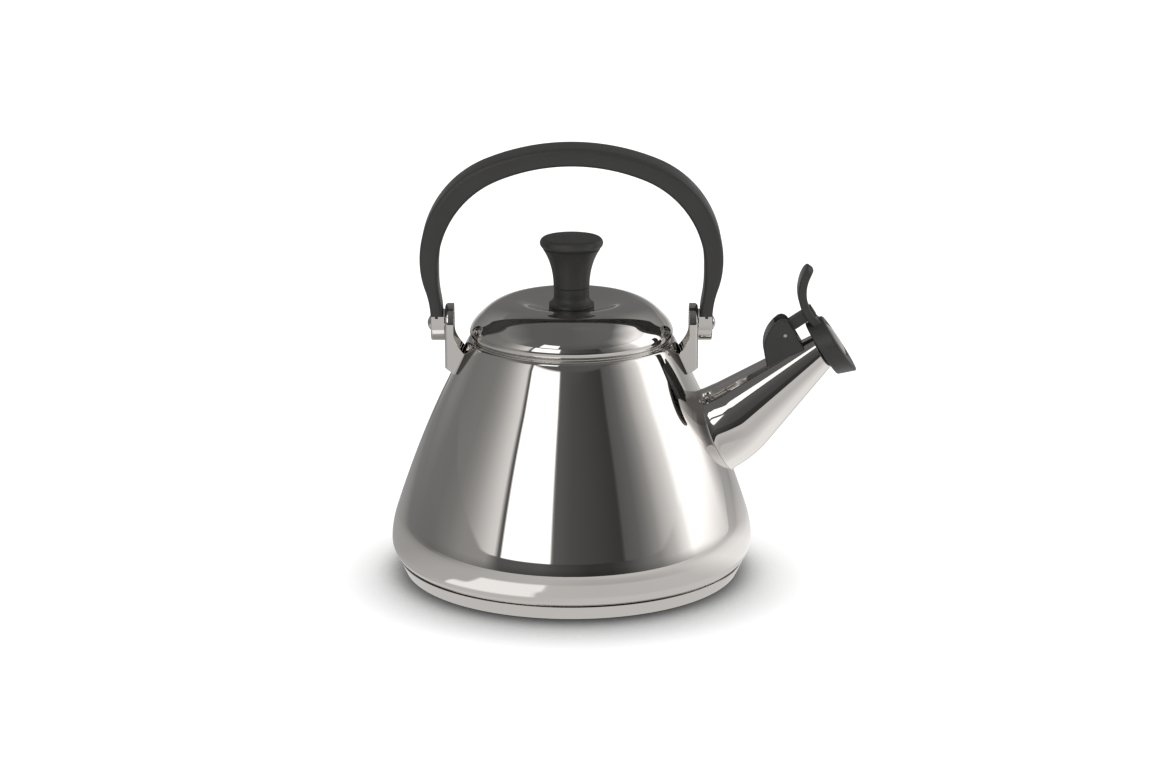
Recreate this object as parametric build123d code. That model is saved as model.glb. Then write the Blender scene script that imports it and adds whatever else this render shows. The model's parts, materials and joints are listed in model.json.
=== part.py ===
"""Stovetop whistling kettle: a sheet-steel cone with a bail handle, lift-off lid and flip whistle.

Millimetres, +Z up.  The origin is the centre of the base, on the face that stands on the hob.
The spout points along +X, so the front and rear are -Y and +Y and the handle arches over X.
Every function makes one piece; pieces that occur left and right are made once and mirrored.
"""

import os
from math import atan2, cos, degrees, radians, sin, tan

from build123d import *

# ---- driving dimensions ---------------------------------------------------------------------

# Sheet metal and general fits
sheet = 0.8                 # steel of the body, spout and base
lid_sheet = 0.7             # steel of the lid
running_fit = 0.1           # pivot hole over its rivet or pin, on the radius
side_play = 0.3             # free play beside a moving part
spare = 5.0                 # how far cutting blocks run past the piece they cut
near = 0.05                 # tolerance when edges are picked by their place

# Base: an aluminium heat spreader in a steel capsule
base_radius = 88.3          # where the capsule stands on the hob
base_height = 7.5           # up to the seam with the body
capsule_flare = 3.0         # how far the capsule wall leans out
capsule_round = 1.6
seam_step = 1.2             # how far the capsule's edge stands out from the body's seam

# Body: rounded belly, straight cone, small shoulder, and a neck that hangs inside the rim
seam_lean = -50.0           # lean of the wall inwards from vertical at each station, going up
belly_bulge = 4.9           # widest radius, more than the seam's
belly_height = 17.5
hip_inset = 2.6             # less than the widest radius
hip_height = 33.0
hip_lean = 18.0
cone_height = 100.0         # from here up the wall is a straight cone
cone_lean = 26.0
rim_radius = 51.5
rim_height = 125.4
shoulder_round = 3.3
rim_ledge = 3.9             # flat ledge from the shoulder to the mouth
neck_depth = 7.0
mouth_round = 1.5

# Lid
lid_overhang = 1.5          # beyond the rim
lid_edge_height = 3.0       # widest line of the lid above the rim
lid_crest_inset = 22.0      # crest circle inside the widest line
lid_crest_height = 20.1     # crest above the rim
lid_shoulder_inset = 6.8
lid_shoulder_height = 13.3
lid_shoulder_slope = 44.7   # fall of the lid at its shoulder
lid_centre_height = 16.6    # the dished middle that the knob stands on
knob_seat_radius = 13.0
lid_hem_inset = 2.4         # how far the hem is tucked in under the widest line
skirt_fit = 0.35            # skirt inside the mouth, on the radius
skirt_depth = 9.5
skirt_flange_margin = 0.6   # flange beyond the edge of the hem

# Knob
collar_radius = 12.0
collar_waist = 9.2
collar_height = 10.2
collar_edge = 1.7           # rounded edge of the collar's foot
grip_waist = 9.4
grip_height = 20.6
grip_top_radius = 14.9
knob_radius = 16.5
knob_cap_height = 5.9
knob_face_radius = 14.4
knob_break = 0.3            # small bevel where two knob parts meet
knob_screw_radius = 2.0
knob_screw_fit = 0.3
knob_screw_head = 4.0
knob_screw_head_height = 2.2
knob_screw_slot = 1.0       # width and depth of the driver slot
knob_screw_round = 1.0
knob_screw_length = 24.0
knob_washer_radius = 7.0
knob_washer_thickness = 0.8

# Spout: a tapered tube bent once
spout_bend_x = 83.74
spout_bend_z = 79.62
spout_root_lean = 30.0      # above horizontal, at the body
spout_tip_lean = 39.5       # above horizontal, past the bend
spout_root_length = 21.0
spout_root_radius = 23.0
spout_bend_radius = 22.0    # radius of the tube at the bend
spout_tip_radius = 9.5      # at the cap's rear face
spout_reach = 61.0          # bend to the cap's rear face
spout_over_length = 6.0     # spare length that the tip's oblique cut takes off
spout_insertion = 2.6       # how far the tip stands inside the cap
spout_stations = 13
bend_sweep = 80.0           # radius of the centre line round the bend

# Brackets on the body
pivot_rise = 7.6            # handle pivot above the rim
bracket_gap = 11.6          # lid's widest line to the inside of the bracket
bracket_sheet = 1.2
bracket_radius = 10.3       # half width and round top
bracket_drop = 22.0         # foot of the outer face below the pivot
bracket_lip = 4.5           # depth of the flange beside the pivot
bracket_lip_drop = 7.0      # below the pivot the flange widens to the cone
bracket_web_round = 9.0     # round in the flange where it widens
bracket_toe_drop = 14.8     # top of the flange on the cone, below the pivot
bracket_heel_drop = 25.2    # foot of the flange on the cone, below the pivot
bracket_weld_depth = 2.5    # the flange is drawn this far into the cone and trimmed to it
spring_washer_radius = 4.6
spring_washer_sheet = 0.4
spring_washer_cone = 0.35

# Handle feet: ferrule and inner plate, carried by the pivot rivet
foot_plate_thickness = 0.8
foot_thickness = 6.3        # ferrule and foot of the grip along the pivot
ferrule_radius = 9.2
ferrule_wall = 0.8
ferrule_round = 0.7
ferrule_rise = 5.2          # above the pivot
rivet_radius = 2.5
rivet_head_radius = 3.6
rivet_head_height = 1.9
rivet_head_side = 0.5

# Handle
handle_rise = 94.0          # pivot to the top of the arch
handle_bulge = 5.3          # widest point of the arch beyond the ferrule
handle_top_radius = 118.0   # outer arc over the hand
handle_top_sweep = 22.4     # half angle of that arc
handle_haunch = 9.5         # inner arc over the hand is this much tighter, which thickens the haunches
handle_thickness = 9.5
handle_width = 23.0
handle_round = 2.4
handle_leg_rise = 25.0      # the inner face stays straight up to here above the pivot
handle_foot_rise = 3.0      # the curve of the leg ends here above the pivot
grip_widening = 45.0        # the grip reaches its full width here above the pivot
core_thickness = 2.0
core_width = 11.0
core_leg_rise = 30.0

# Whistle: places are measured from its hinge pin, along and above the axis of the cap
pin_radius = 1.0
pin_recess = 0.6            # ends of the pin below the faces of the housing
cap_lean = 33.6             # axis of the cap above horizontal
cap_lift = 0.55             # centre of the cap above the centre of the spout's tip
cap_ahead = 11.3            # rear face of the cap ahead of the pin
cap_below = 18.0            # axis of the cap below the pin
cap_rear_radius = 15.9
cap_front_radius = 16.9
cap_depth = 9.6
cap_drop = 2.6              # the front face sits lower than the rear one
cap_wall = 2.4
cap_cavity = 5.6
cap_round = 0.9
disc_radius = 10.4
disc_sheet = 0.6
disc_dome = 1.4
disc_step = 0.9
disc_rim = 1.2              # flat rim round the dome
whistle_hole = 1.1
chamber_radius = 8.4
lever_width = 8.5           # hub and arm
tab_width = 14.0            # thumb tab
tab_corner = 5.0            # round of the tab's tip, seen from its face
arm_top = 4.5               # arm faces above the pin
arm_bottom = -0.8
tab_centre_x = 30.3         # centre of the thumb tab's curve, from the pin
tab_centre_z = 22.4
tab_radius = 21.6
tab_thickness = 4.4
tab_round = 1.1
tab_tip_angle = 143.0
tab_root_angle = 234.0

# Housing of the whistle: side outline from rear foot to front foot, as places ahead of the
# pin and above it with the round of each corner
housing_outline = [
    (-8.9, -19.0, 0.0),
    (-12.6, 0.4, 18.0),
    (-0.3, 10.4, 3.9),
    (10.5, -7.4, 2.0),
    (9.6, -14.0, 0.0),
]
housing_cheek = 3.45        # thickness beside the slot
housing_round = 1.1
slot_back = 5.3             # rear wall of the slot behind the pin
slot_floor = 4.8            # floor of the slot below the pin
stud_radius = 1.5
stud_depth = 6.0            # below the slot's floor, down into the spout's wall
stud_setback = 1.2          # stud behind the pin
nut_flats = 5.0
nut_height = 1.6
spring_wire = 0.35          # radius of the wire
spring_coil = 3.0
spring_turns = 5
spring_pitch = 1.9          # wire radii from coil to coil, under two so that the coils join
spring_leg = 3.8
spring_pocket = 1.9         # free space round the coils in the lever

# ---- places worked out from those ------------------------------------------------------------

mirror_x = Plane.YZ

seam_radius = base_radius + capsule_flare - seam_step
belly_radius = seam_radius + belly_bulge
hip_radius = belly_radius - hip_inset
mouth_radius = rim_radius - rim_ledge
shoulder_x = rim_radius + shoulder_round * cos(radians(cone_lean))
shoulder_z = rim_height - shoulder_round * (1 - sin(radians(cone_lean)))

lid_radius = rim_radius + lid_overhang
lid_hem_radius = lid_radius - lid_hem_inset
lid_rim = rim_height + lid_sheet
knob_seat_height = rim_height + lid_centre_height
knob_screw_seat = knob_seat_height - lid_sheet - knob_washer_thickness
collar_top = knob_seat_height + collar_height
grip_top = collar_top + grip_height

pivot_height = rim_height + pivot_rise
web_inner = lid_radius + bracket_gap
bracket_face = web_inner + bracket_sheet
rivet_inner = web_inner - 2 * (spring_washer_sheet + spring_washer_cone)
foot_plate_face = bracket_face + side_play
ferrule_face = foot_plate_face + foot_plate_thickness
ferrule_outer = ferrule_face + foot_thickness
tongue_radius = ferrule_radius - ferrule_wall
tongue_outer = ferrule_outer - ferrule_wall
ferrule_top = pivot_height + ferrule_rise
handle_apex = pivot_height + handle_rise
handle_half_span = ferrule_outer + handle_bulge


def heading(lean):
    """Unit vector in the XZ plane at this angle above horizontal."""
    return Vector(cos(radians(lean)), 0, sin(radians(lean)))


cap_axis = heading(cap_lean)
cap_up = heading(cap_lean + 90)
spout_bend = Vector(spout_bend_x, 0, spout_bend_z)
cap_origin = spout_bend + heading(spout_tip_lean) * spout_reach + cap_up * cap_lift
cap_plane = Plane(origin=cap_origin, x_dir=cap_up * -1, z_dir=cap_axis)
pin = cap_origin - cap_axis * cap_ahead + cap_up * cap_below
cap_hollow = cap_rear_radius - cap_wall
housing_width = lever_width + 2 * (side_play + housing_cheek)
spring_width = 2 * spring_wire * spring_turns
saddle_lean = spout_tip_lean - degrees(atan2(spout_bend_radius - spout_tip_radius, spout_reach))


def solid_of_revolution(*edges):
    """Revolve a closed outline drawn in the XZ plane (radius, height) about the Z axis."""
    return revolve(Plane.XZ * make_face(Wire(list(edges))), axis=Axis.Z)


def rod(plane, radius, low, high):
    """A cylinder square to a plane, between two distances from it."""
    along = (Align.CENTER, Align.CENTER, Align.MIN)
    return plane * Pos(0, 0, low) * Cylinder(radius, high - low, align=along)


def ring(outer, inner, low, high):
    """A plain ring round the Z axis."""
    solid = rod(Plane.XY, outer, low, high)
    return solid - rod(Plane.XY, inner, low, high) if inner > 0 else solid


def on_pivot(radius, low, high):
    """A cylinder along X on the handle's pivot axis, from low to high."""
    return rod(Plane(origin=(0, 0, pivot_height), z_dir=(1, 0, 0)), radius, low, high)


def on_pin(radius, width):
    """A cylinder along Y on the whistle's hinge axis, centred on the middle plane."""
    return rod(Plane(origin=pin, z_dir=(0, 1, 0)), radius, -width / 2, width / 2)


def xz_plate(outline, width):
    """Extrude a closed outline in the XZ plane to both sides of the middle plane."""
    return extrude(Plane.XZ * make_face(outline), amount=width / 2, both=True)


# ---- body ------------------------------------------------------------------------------------


def lean_vector(lean):
    """Unit tangent, in radius and height, of a wall that leans inward by this angle going up."""
    return (-sin(radians(lean)), cos(radians(lean)))


def inset(radius, height, lean, depth):
    """A point that lies this deep inside the wall at one of its stations."""
    return (radius - depth * cos(radians(lean)), height - depth * sin(radians(lean)))


def cone_x(height):
    """Radius of the straight cone at this height."""
    return shoulder_x + (shoulder_z - height) * tan(radians(cone_lean))


def body_wall(depth):
    """The wall from the seam to the rim, this deep inside the outer surface, as edges."""
    stations = [
        (seam_radius, base_height, seam_lean),
        (belly_radius, belly_height, 0.0),
        (hip_radius, hip_height, hip_lean),
        (cone_x(cone_height), cone_height, cone_lean),
    ]
    points = [inset(r, z, lean, depth) for r, z, lean in stations]
    tangents = [lean_vector(lean) for _, _, lean in stations]
    shoulder_foot = inset(shoulder_x, shoulder_z, cone_lean, depth)
    return [
        Spline(*points, tangents=tangents),
        Line(points[-1], shoulder_foot),
        RadiusArc(shoulder_foot, (rim_radius, rim_height - depth), -(shoulder_round - depth)),
    ]


def neck_wall(depth):
    """The rim's flat ledge and the neck that hangs from it, this deep inside the sheet."""
    ledge_end = (mouth_radius + mouth_round, rim_height - depth)
    neck_top = (mouth_radius + depth, rim_height - mouth_round)
    return [
        Line((rim_radius, rim_height - depth), ledge_end),
        RadiusArc(ledge_end, neck_top, mouth_round - depth),
        Line(neck_top, (mouth_radius + depth, rim_height - neck_depth)),
    ]


def body_outer_solid():
    """The body filled in, to trim what is welded to its outside."""
    wall = body_wall(0)
    return solid_of_revolution(
        *wall,
        Line((rim_radius, rim_height), (0, rim_height)),
        Line((0, rim_height), (0, base_height)),
        Line((0, base_height), (seam_radius, base_height)),
    )


def body_shell():
    """Body in one sheet, from the seam with the base to the shoulder, with the spout's hole."""
    foot = inset(seam_radius, base_height, seam_lean, sheet)
    shell = solid_of_revolution(
        *body_wall(0),
        Line((rim_radius, rim_height), (rim_radius, rim_height - sheet)),
        *body_wall(sheet),
        Line((seam_radius, base_height), foot),
    )
    shell -= ring(seam_radius + spare, 0, base_height - spare, base_height)
    return shell - spout_solid(sheet)


def body_rim():
    """Ring of the mouth: the ledge that the lid rests on and the neck that hangs from it."""
    lip = rim_height - neck_depth
    return solid_of_revolution(
        *neck_wall(0),
        Line((mouth_radius, lip), (mouth_radius + sheet, lip)),
        *neck_wall(sheet),
        Line((rim_radius, rim_height), (rim_radius, rim_height - sheet)),
    )


def floor_pan():
    """Floor of the body, welded in at the seam."""
    return ring(seam_radius, 0, base_height - sheet, base_height)


def base_core():
    """Aluminium disc that spreads the heat, sealed in the capsule."""
    flare = capsule_flare * (base_height - 2 * sheet) / base_height
    low, high = base_radius - sheet, base_radius - sheet + flare
    return solid_of_revolution(
        Line((0, sheet), (low, sheet)),
        Line((low, sheet), (high, base_height - sheet)),
        Line((high, base_height - sheet), (0, base_height - sheet)),
        Line((0, base_height - sheet), (0, sheet)),
    )


def base_capsule():
    """Steel dish under the heat spreader; its bottom is the face that stands on the hob."""
    top = base_radius + capsule_flare
    cup = solid_of_revolution(
        Line((0, 0), (base_radius, 0)),
        Line((base_radius, 0), (top, base_height)),
        Line((top, base_height), (0, base_height)),
        Line((0, base_height), (0, 0)),
    )
    cup = fillet(cup.edges().group_by(Axis.Z)[0], capsule_round)
    return cup - base_core() - ring(top - sheet, 0, base_height - sheet, base_height)


# ---- spout -----------------------------------------------------------------------------------


def spout_station(share):
    """Centre, lean and radius of the spout at this share of its centre line, 0 at the root."""
    turn = spout_tip_lean - spout_root_lean
    cut = bend_sweep * tan(radians(turn / 2))
    arc = bend_sweep * radians(turn)
    lead, tail = spout_root_length - cut, spout_reach + spout_over_length - cut
    along = share * (lead + arc + tail)
    if along < lead:
        centre = spout_bend - heading(spout_root_lean) * (spout_root_length - along)
        lean = spout_root_lean
    elif along > lead + arc:
        centre = spout_bend + heading(spout_tip_lean) * (cut + along - lead - arc)
        lean = spout_tip_lean
    else:
        lean = spout_root_lean + degrees((along - lead) / bend_sweep)
        start = spout_bend - heading(spout_root_lean) * cut
        hub = start + heading(spout_root_lean + 90) * bend_sweep
        centre = hub + heading(lean - 90) * bend_sweep
    past = along - lead - arc / 2
    root_slope = (spout_root_radius - spout_bend_radius) / spout_root_length
    tip_slope = (spout_bend_radius - spout_tip_radius) / spout_reach
    ease = arc / 2
    if past < -ease:
        radius = spout_bend_radius - past * root_slope
    elif past > ease:
        radius = spout_bend_radius - past * tip_slope
    else:
        eased = (past + ease) ** 2 / (4 * ease)
        radius = spout_bend_radius - past * root_slope - eased * (tip_slope - root_slope)
    return centre, lean, radius


def spout_solid(depth):
    """The spout filled in, this deep inside its outer surface, cut square to the cap at its tip."""
    circles = []
    for index in range(spout_stations):
        centre, lean, radius = spout_station(index / (spout_stations - 1))
        section = Plane(origin=centre, x_dir=(0, 1, 0), z_dir=heading(lean))
        circles.append(section * Circle(radius - depth))
    beyond = rod(cap_plane, 2 * spout_bend_radius, spout_insertion, spout_insertion + spout_reach)
    return loft(circles) - beyond


def spout_tube():
    """The spout, trimmed to the outside of the body."""
    return spout_solid(0) - spout_solid(sheet) - body_outer_solid()


# ---- brackets --------------------------------------------------------------------------------


def tombstone(radius, low_x, high_x, end):
    """A block between two X faces: a half disc about the pivot and a straight leg to a height."""
    middle = ((low_x + high_x) / 2, 0, (pivot_height + end) / 2)
    leg = Pos(*middle) * Box(high_x - low_x, 2 * radius, abs(pivot_height - end))
    half_disc = on_pivot(radius, low_x, high_x)
    away = radius if end > pivot_height else -radius
    half_disc -= Pos(middle[0], 0, pivot_height + away) * Box(high_x - low_x, 4 * radius, 2 * radius)
    return leg + half_disc


def bracket():
    """Drawn steel bracket: a round-topped face with a flange that runs in to the cone."""
    lip = bracket_face - bracket_lip
    foot = pivot_height - bracket_drop
    top = pivot_height + bracket_radius + spare
    lip_end = pivot_height - bracket_lip_drop
    toe = pivot_height - bracket_toe_drop
    heel = pivot_height - bracket_heel_drop
    toe_x = cone_x(toe) - bracket_weld_depth
    outer = [(lip, heel), (bracket_face, foot), (bracket_face, top), (lip, top)]
    side = make_face(Polyline(*outer, (lip, lip_end), (toe_x, toe), (toe_x, heel), close=True))
    side = fillet(side.vertices().sort_by_distance((lip, lip_end))[0], bracket_web_round)
    low = toe_x - spare
    outside = tombstone(bracket_radius, low, bracket_face, heel - spare)
    face_edges = [
        edge
        for edge in outside.edges()
        if abs(edge.center().X - bracket_face) < near and edge.center().Z > heel - spare + near
    ]
    outside = fillet(face_edges, bracket_sheet)
    hollow = tombstone(bracket_radius - bracket_sheet, low - spare, web_inner, heel - 2 * spare)
    shape = (outside - hollow) & extrude(Plane.XZ * side, amount=2 * bracket_radius, both=True)
    shape -= body_outer_solid()
    return shape - on_pivot(rivet_radius + running_fit, web_inner - spare, bracket_face + spare)


def pivot_rivet():
    """Pivot rivet with two domed heads; it turns with the handle."""
    shank = on_pivot(rivet_radius, rivet_inner, ferrule_outer)
    return shank + rivet_head(ferrule_outer, 1) + rivet_head(rivet_inner, -1)


def rivet_head(face, way):
    """A domed head on a face, towards +X or -X."""
    radius, height = rivet_head_radius, rivet_head_height
    head = solid_of_revolution(
        Line((0, 0), (radius, 0)),
        Line((radius, 0), (radius, rivet_head_side)),
        TangentArc((0, height), (radius, rivet_head_side), tangent=(1, 0)),
        Line((0, height), (0, 0)),
    )
    return Plane(origin=(face, 0, pivot_height), z_dir=(way, 0, 0)) * head


def spring_washers():
    """Two coned spring washers, back to back, that give the handle its friction."""
    rise, wall = spring_washer_cone, spring_washer_sheet
    inner, outer = rivet_radius, spring_washer_radius
    cone = solid_of_revolution(
        Line((inner, rise), (outer, 0)),
        Line((outer, 0), (outer, wall)),
        Line((outer, wall), (inner, rise + wall)),
        Line((inner, rise + wall), (inner, rise)),
    )
    outward = Plane(origin=(web_inner, 0, pivot_height), z_dir=(-1, 0, 0)) * cone
    inward = Plane(origin=(rivet_inner, 0, pivot_height), z_dir=(1, 0, 0)) * cone
    return [outward, inward]


# ---- handle ----------------------------------------------------------------------------------


def handle_curve(depth, foot_x, leg_top, haunch):
    """Right half of the arch, this deep inside its outer surface, from apex to foot, as edges."""
    sweep = radians(handle_top_sweep)
    top = handle_top_radius - depth - haunch
    half_span = handle_half_span - depth
    top_centre = handle_apex - depth - top
    side = (half_span - top * sin(sweep)) / (1 - sin(sweep))
    side_centre = ((top - side) * sin(sweep), top_centre + (top - side) * cos(sweep))
    waist = min(leg_top, side_centre[1])
    start = (half_span, waist)
    foot = (foot_x, pivot_height + handle_foot_rise)
    knee = ((start[0] + foot[0]) / 2, (start[1] + foot[1]) / 2)
    edges = [
        CenterArc((0, top_centre), top, 90, -handle_top_sweep),
        CenterArc(side_centre, side, 90 - handle_top_sweep, handle_top_sweep - 90),
    ]
    if side_centre[1] - waist > near:
        edges.append(Line((half_span, side_centre[1]), start))
    first = TangentArc(start, knee, tangent=(0, -1))
    return edges + [first, TangentArc(knee, foot, tangent=first % 1)]


def half_arch(outer, inner, width):
    """Half of an arch-shaped strip between two handle curves, extruded across Y."""
    top_outer, top_inner = outer[0] @ 0, inner[0] @ 0
    foot_outer, foot_inner = outer[-1] @ 1, inner[-1] @ 1
    return xz_plate(
        Wire(outer + inner + [Line(top_outer, top_inner), Line(foot_outer, foot_inner)]), width
    )


def handle_core_half():
    """Right half of the steel strip in the grip, with the eye for the rivet."""
    middle = handle_thickness / 2
    foot = (ferrule_face + tongue_outer) / 2
    low, high = foot - core_thickness / 2, foot + core_thickness / 2
    leg_top = pivot_height + core_leg_rise
    outer = handle_curve(middle - core_thickness / 2, high, leg_top, 0)
    inner = handle_curve(middle + core_thickness / 2, low, leg_top, 0)
    strip = half_arch(outer, inner, core_width)
    eye = tombstone(core_width / 2, low, high, pivot_height + handle_foot_rise)
    return strip + eye - on_pivot(rivet_radius, bracket_face, ferrule_outer)


def handle_core():
    """Steel strip moulded into the grip, from rivet to rivet."""
    half = handle_core_half()
    return half + mirror(half, about=mirror_x)


def grip_blank():
    """Half of the arch of the grip, wide over the hand and narrower at the foot."""
    outer = handle_curve(0, ferrule_outer, handle_apex, 0)
    leg_top = pivot_height + handle_leg_rise
    inner = handle_curve(handle_thickness, ferrule_face, leg_top, handle_haunch)
    arch = half_arch(outer, inner, handle_width)
    low, wide = ferrule_radius, handle_width / 2
    full, top = pivot_height + grip_widening, handle_apex + spare
    flank = make_face(
        [
            Spline((low, ferrule_top), (wide, full), tangents=[(0, 1), (0, 1)]),
            Line((wide, full), (wide, top)),
            Line((wide, top), (-wide, top)),
            Line((-wide, top), (-wide, full)),
            Spline((-wide, full), (-low, ferrule_top), tangents=[(0, -1), (0, -1)]),
            Line((-low, ferrule_top), (low, ferrule_top)),
        ]
    )
    arch = arch & extrude(Plane.YZ * flank, amount=handle_half_span + spare)
    long_edges = [
        edge
        for edge in arch.edges()
        if edge.center().X > near and abs(edge.center().Y) > near and edge.center().Z > ferrule_top + near
    ]
    return fillet(long_edges, handle_round)


def handle_grip():
    """Moulded grip over a steel core, with a tongue in each ferrule."""
    half = grip_blank() + tombstone(tongue_radius, ferrule_face, tongue_outer, ferrule_top)
    half -= on_pivot(rivet_radius, bracket_face, ferrule_outer)
    return half + mirror(half, about=mirror_x) - handle_core()


def handle_ferrule():
    """Steel cup over the foot of the grip, open at the top and towards the bracket."""
    cup = tombstone(ferrule_radius, ferrule_face, ferrule_outer, ferrule_top)
    rim = [
        edge
        for edge in cup.edges()
        if abs(edge.center().X - ferrule_outer) < near and edge.center().Z < ferrule_top - near
    ]
    cup = fillet(rim, ferrule_round)
    cup -= tombstone(tongue_radius, ferrule_face - spare, tongue_outer, ferrule_top + spare)
    return cup - on_pivot(rivet_radius, bracket_face, ferrule_outer + spare)


def foot_plate():
    """Flat steel plate between the foot of the handle and the bracket."""
    plate = tombstone(ferrule_radius, foot_plate_face, ferrule_face, ferrule_top)
    return plate - on_pivot(rivet_radius, bracket_face, ferrule_face + spare)


# ---- lid -------------------------------------------------------------------------------------


def lid_section(depth):
    """The lid from its dished middle to its widest line, this deep inside, as edges."""
    hole = knob_screw_radius + knob_screw_fit
    fall = radians(lid_shoulder_slope)
    seat = (knob_seat_radius, knob_seat_height - depth)
    crest = (lid_radius - lid_crest_inset, rim_height + lid_crest_height - depth)
    shoulder = (
        lid_radius - lid_shoulder_inset - depth * sin(fall),
        rim_height + lid_shoulder_height - depth * cos(fall),
    )
    edge = (lid_radius - depth, rim_height + lid_edge_height)
    return [
        Line((hole, knob_seat_height - depth), seat),
        Spline(seat, crest, shoulder, edge, tangents=[(1, 0), (1, 0), (cos(fall), -sin(fall)), (0, -1)]),
    ]


def lid_shell():
    """Domed lid with a crest round its dished middle and a hem tucked in at the rim."""
    edge_height = rim_height + lid_edge_height
    hem_low, hem_high = lid_rim, lid_rim + lid_sheet
    hole = knob_screw_radius + knob_screw_fit
    return solid_of_revolution(
        *lid_section(0),
        Spline((lid_radius, edge_height), (lid_hem_radius, hem_low), tangents=[(0, -1), (-1, 0)]),
        Line((lid_hem_radius, hem_low), (lid_hem_radius, hem_high)),
        Spline((lid_hem_radius, hem_high), (lid_radius - lid_sheet, edge_height), tangents=[(1, 0), (0, 1)]),
        *lid_section(lid_sheet),
        Line((hole, knob_seat_height), (hole, knob_seat_height - lid_sheet)),
    )


def lid_skirt():
    """Ring that locates the lid: a flange on the rim and a sleeve inside the mouth."""
    sleeve = mouth_radius - skirt_fit
    flange = ring(lid_hem_radius + skirt_flange_margin, sleeve - lid_sheet, rim_height, lid_rim)
    return flange + ring(sleeve, sleeve - lid_sheet, rim_height - skirt_depth, lid_rim)


def knob_collar():
    """Flared collar between the lid and the grip of the knob."""
    base, top = knob_seat_height, collar_top
    bore = knob_screw_radius + knob_screw_fit
    foot = collar_radius - knob_break
    waist_height = base + collar_height / 2
    return solid_of_revolution(
        Line((bore, base), (foot - knob_break, base)),
        TangentArc((foot - knob_break, base), (foot, base + collar_edge), tangent=(1, 0)),
        Spline(
            (foot, base + collar_edge),
            (collar_waist, waist_height),
            (collar_waist, top),
            tangents=[(-0.8, 0.5), (-0.12, 1), (0, 1)],
        ),
        Line((collar_waist, top), (bore, top)),
        Line((bore, top), (bore, base)),
    )


def knob_grip():
    """Waisted grip of the knob, with the blind hole for the screw."""
    low, top = collar_top, grip_top
    bore_top = knob_screw_seat + knob_screw_length
    return solid_of_revolution(
        Line((knob_screw_radius, low), (grip_waist, low)),
        Spline((grip_waist, low), (grip_top_radius, top), tangents=[(0, 1), (0.55, 0.83)]),
        Line((grip_top_radius, top), (0, top)),
        Line((0, top), (0, bore_top)),
        Line((0, bore_top), (knob_screw_radius, bore_top)),
        Line((knob_screw_radius, bore_top), (knob_screw_radius, low)),
    )


def knob_cap():
    """Bulged top of the knob, glued on the grip."""
    low, high = grip_top, grip_top + knob_cap_height
    edge_low, edge_high = low + knob_break, high - knob_break
    return solid_of_revolution(
        Line((0, low), (grip_top_radius - knob_break, low)),
        Line((grip_top_radius - knob_break, low), (grip_top_radius, edge_low)),
        Spline(
            (grip_top_radius, edge_low),
            (knob_radius, (low + high) / 2),
            (knob_face_radius, edge_high),
            tangents=[(0.9, 0.45), (0, 1), (-1, 0.12)],
        ),
        TangentArc((0, high), (knob_face_radius, edge_high), tangent=(1, 0)),
        Line((0, high), (0, low)),
    )


def knob_washer():
    """Washer under the lid's middle."""
    high = knob_screw_seat + knob_washer_thickness
    return ring(knob_washer_radius, knob_screw_radius, knob_screw_seat, high)


def knob_screw():
    """Screw from under the lid up into the grip of the knob."""
    low = knob_screw_seat - knob_screw_head_height
    shank = ring(knob_screw_radius, 0, knob_screw_seat, knob_screw_seat + knob_screw_length)
    head = ring(knob_screw_head, 0, low, knob_screw_seat)
    head = fillet(head.edges().group_by(Axis.Z)[0], knob_screw_round)
    slot = Pos(0, 0, low) * Box(2 * knob_screw_head + spare, knob_screw_slot, 2 * knob_screw_slot)
    return shank + head - slot


# ---- whistle ---------------------------------------------------------------------------------


def cap_disc(radius, low, high):
    """A cylinder on the axis of the cap, between two distances from its rear face."""
    return rod(cap_plane, radius, low, high)


def whistle_cap():
    """Moulded cap: hollow at the rear for the tip of the spout, open in front for the disc."""
    rear = cap_plane * Circle(cap_rear_radius)
    front = cap_plane * Pos(cap_drop, 0, cap_depth) * Circle(cap_front_radius)
    cap = loft([rear, front], ruled=True)
    cap = fillet(cap.edges().filter_by(GeomType.CIRCLE), cap_round)
    cap -= cap_disc(cap_hollow, -spare, cap_cavity)
    cap -= cap_disc(disc_radius, 0, cap_cavity + disc_sheet)
    cap -= cap_disc(chamber_radius, 0, cap_depth)
    cap -= cap_disc(disc_radius, cap_depth - disc_step, cap_depth + spare)
    return cap - lever_blank()


def whistle_disc():
    """Polished front disc, domed outwards round the whistle hole."""
    low, high = cap_depth - disc_step, cap_depth - disc_step + disc_sheet
    foot, foot_below = disc_radius - disc_rim, disc_radius - disc_rim - disc_sheet / 2
    return cap_plane * solid_of_revolution(
        Line((whistle_hole, low + disc_dome), (whistle_hole, high + disc_dome)),
        Spline((whistle_hole, high + disc_dome), (foot, high), tangents=[(1, 0), (1, -0.35)]),
        Line((foot, high), (disc_radius, high)),
        Line((disc_radius, high), (disc_radius, low)),
        Line((disc_radius, low), (foot_below, low)),
        Spline((foot_below, low), (whistle_hole, low + disc_dome), tangents=[(-1, 0.35), (-1, 0)]),
    )


def whistle_plate():
    """Inner plate of the whistle, with the second hole."""
    plate = cap_disc(disc_radius, cap_cavity, cap_cavity + disc_sheet)
    return plate - cap_disc(whistle_hole, 0, cap_depth)


def polar(centre, radius, angle):
    """A point in XZ at this distance and angle from a centre."""
    return (centre[0] + radius * cos(radians(angle)), centre[1] + radius * sin(radians(angle)))


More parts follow.
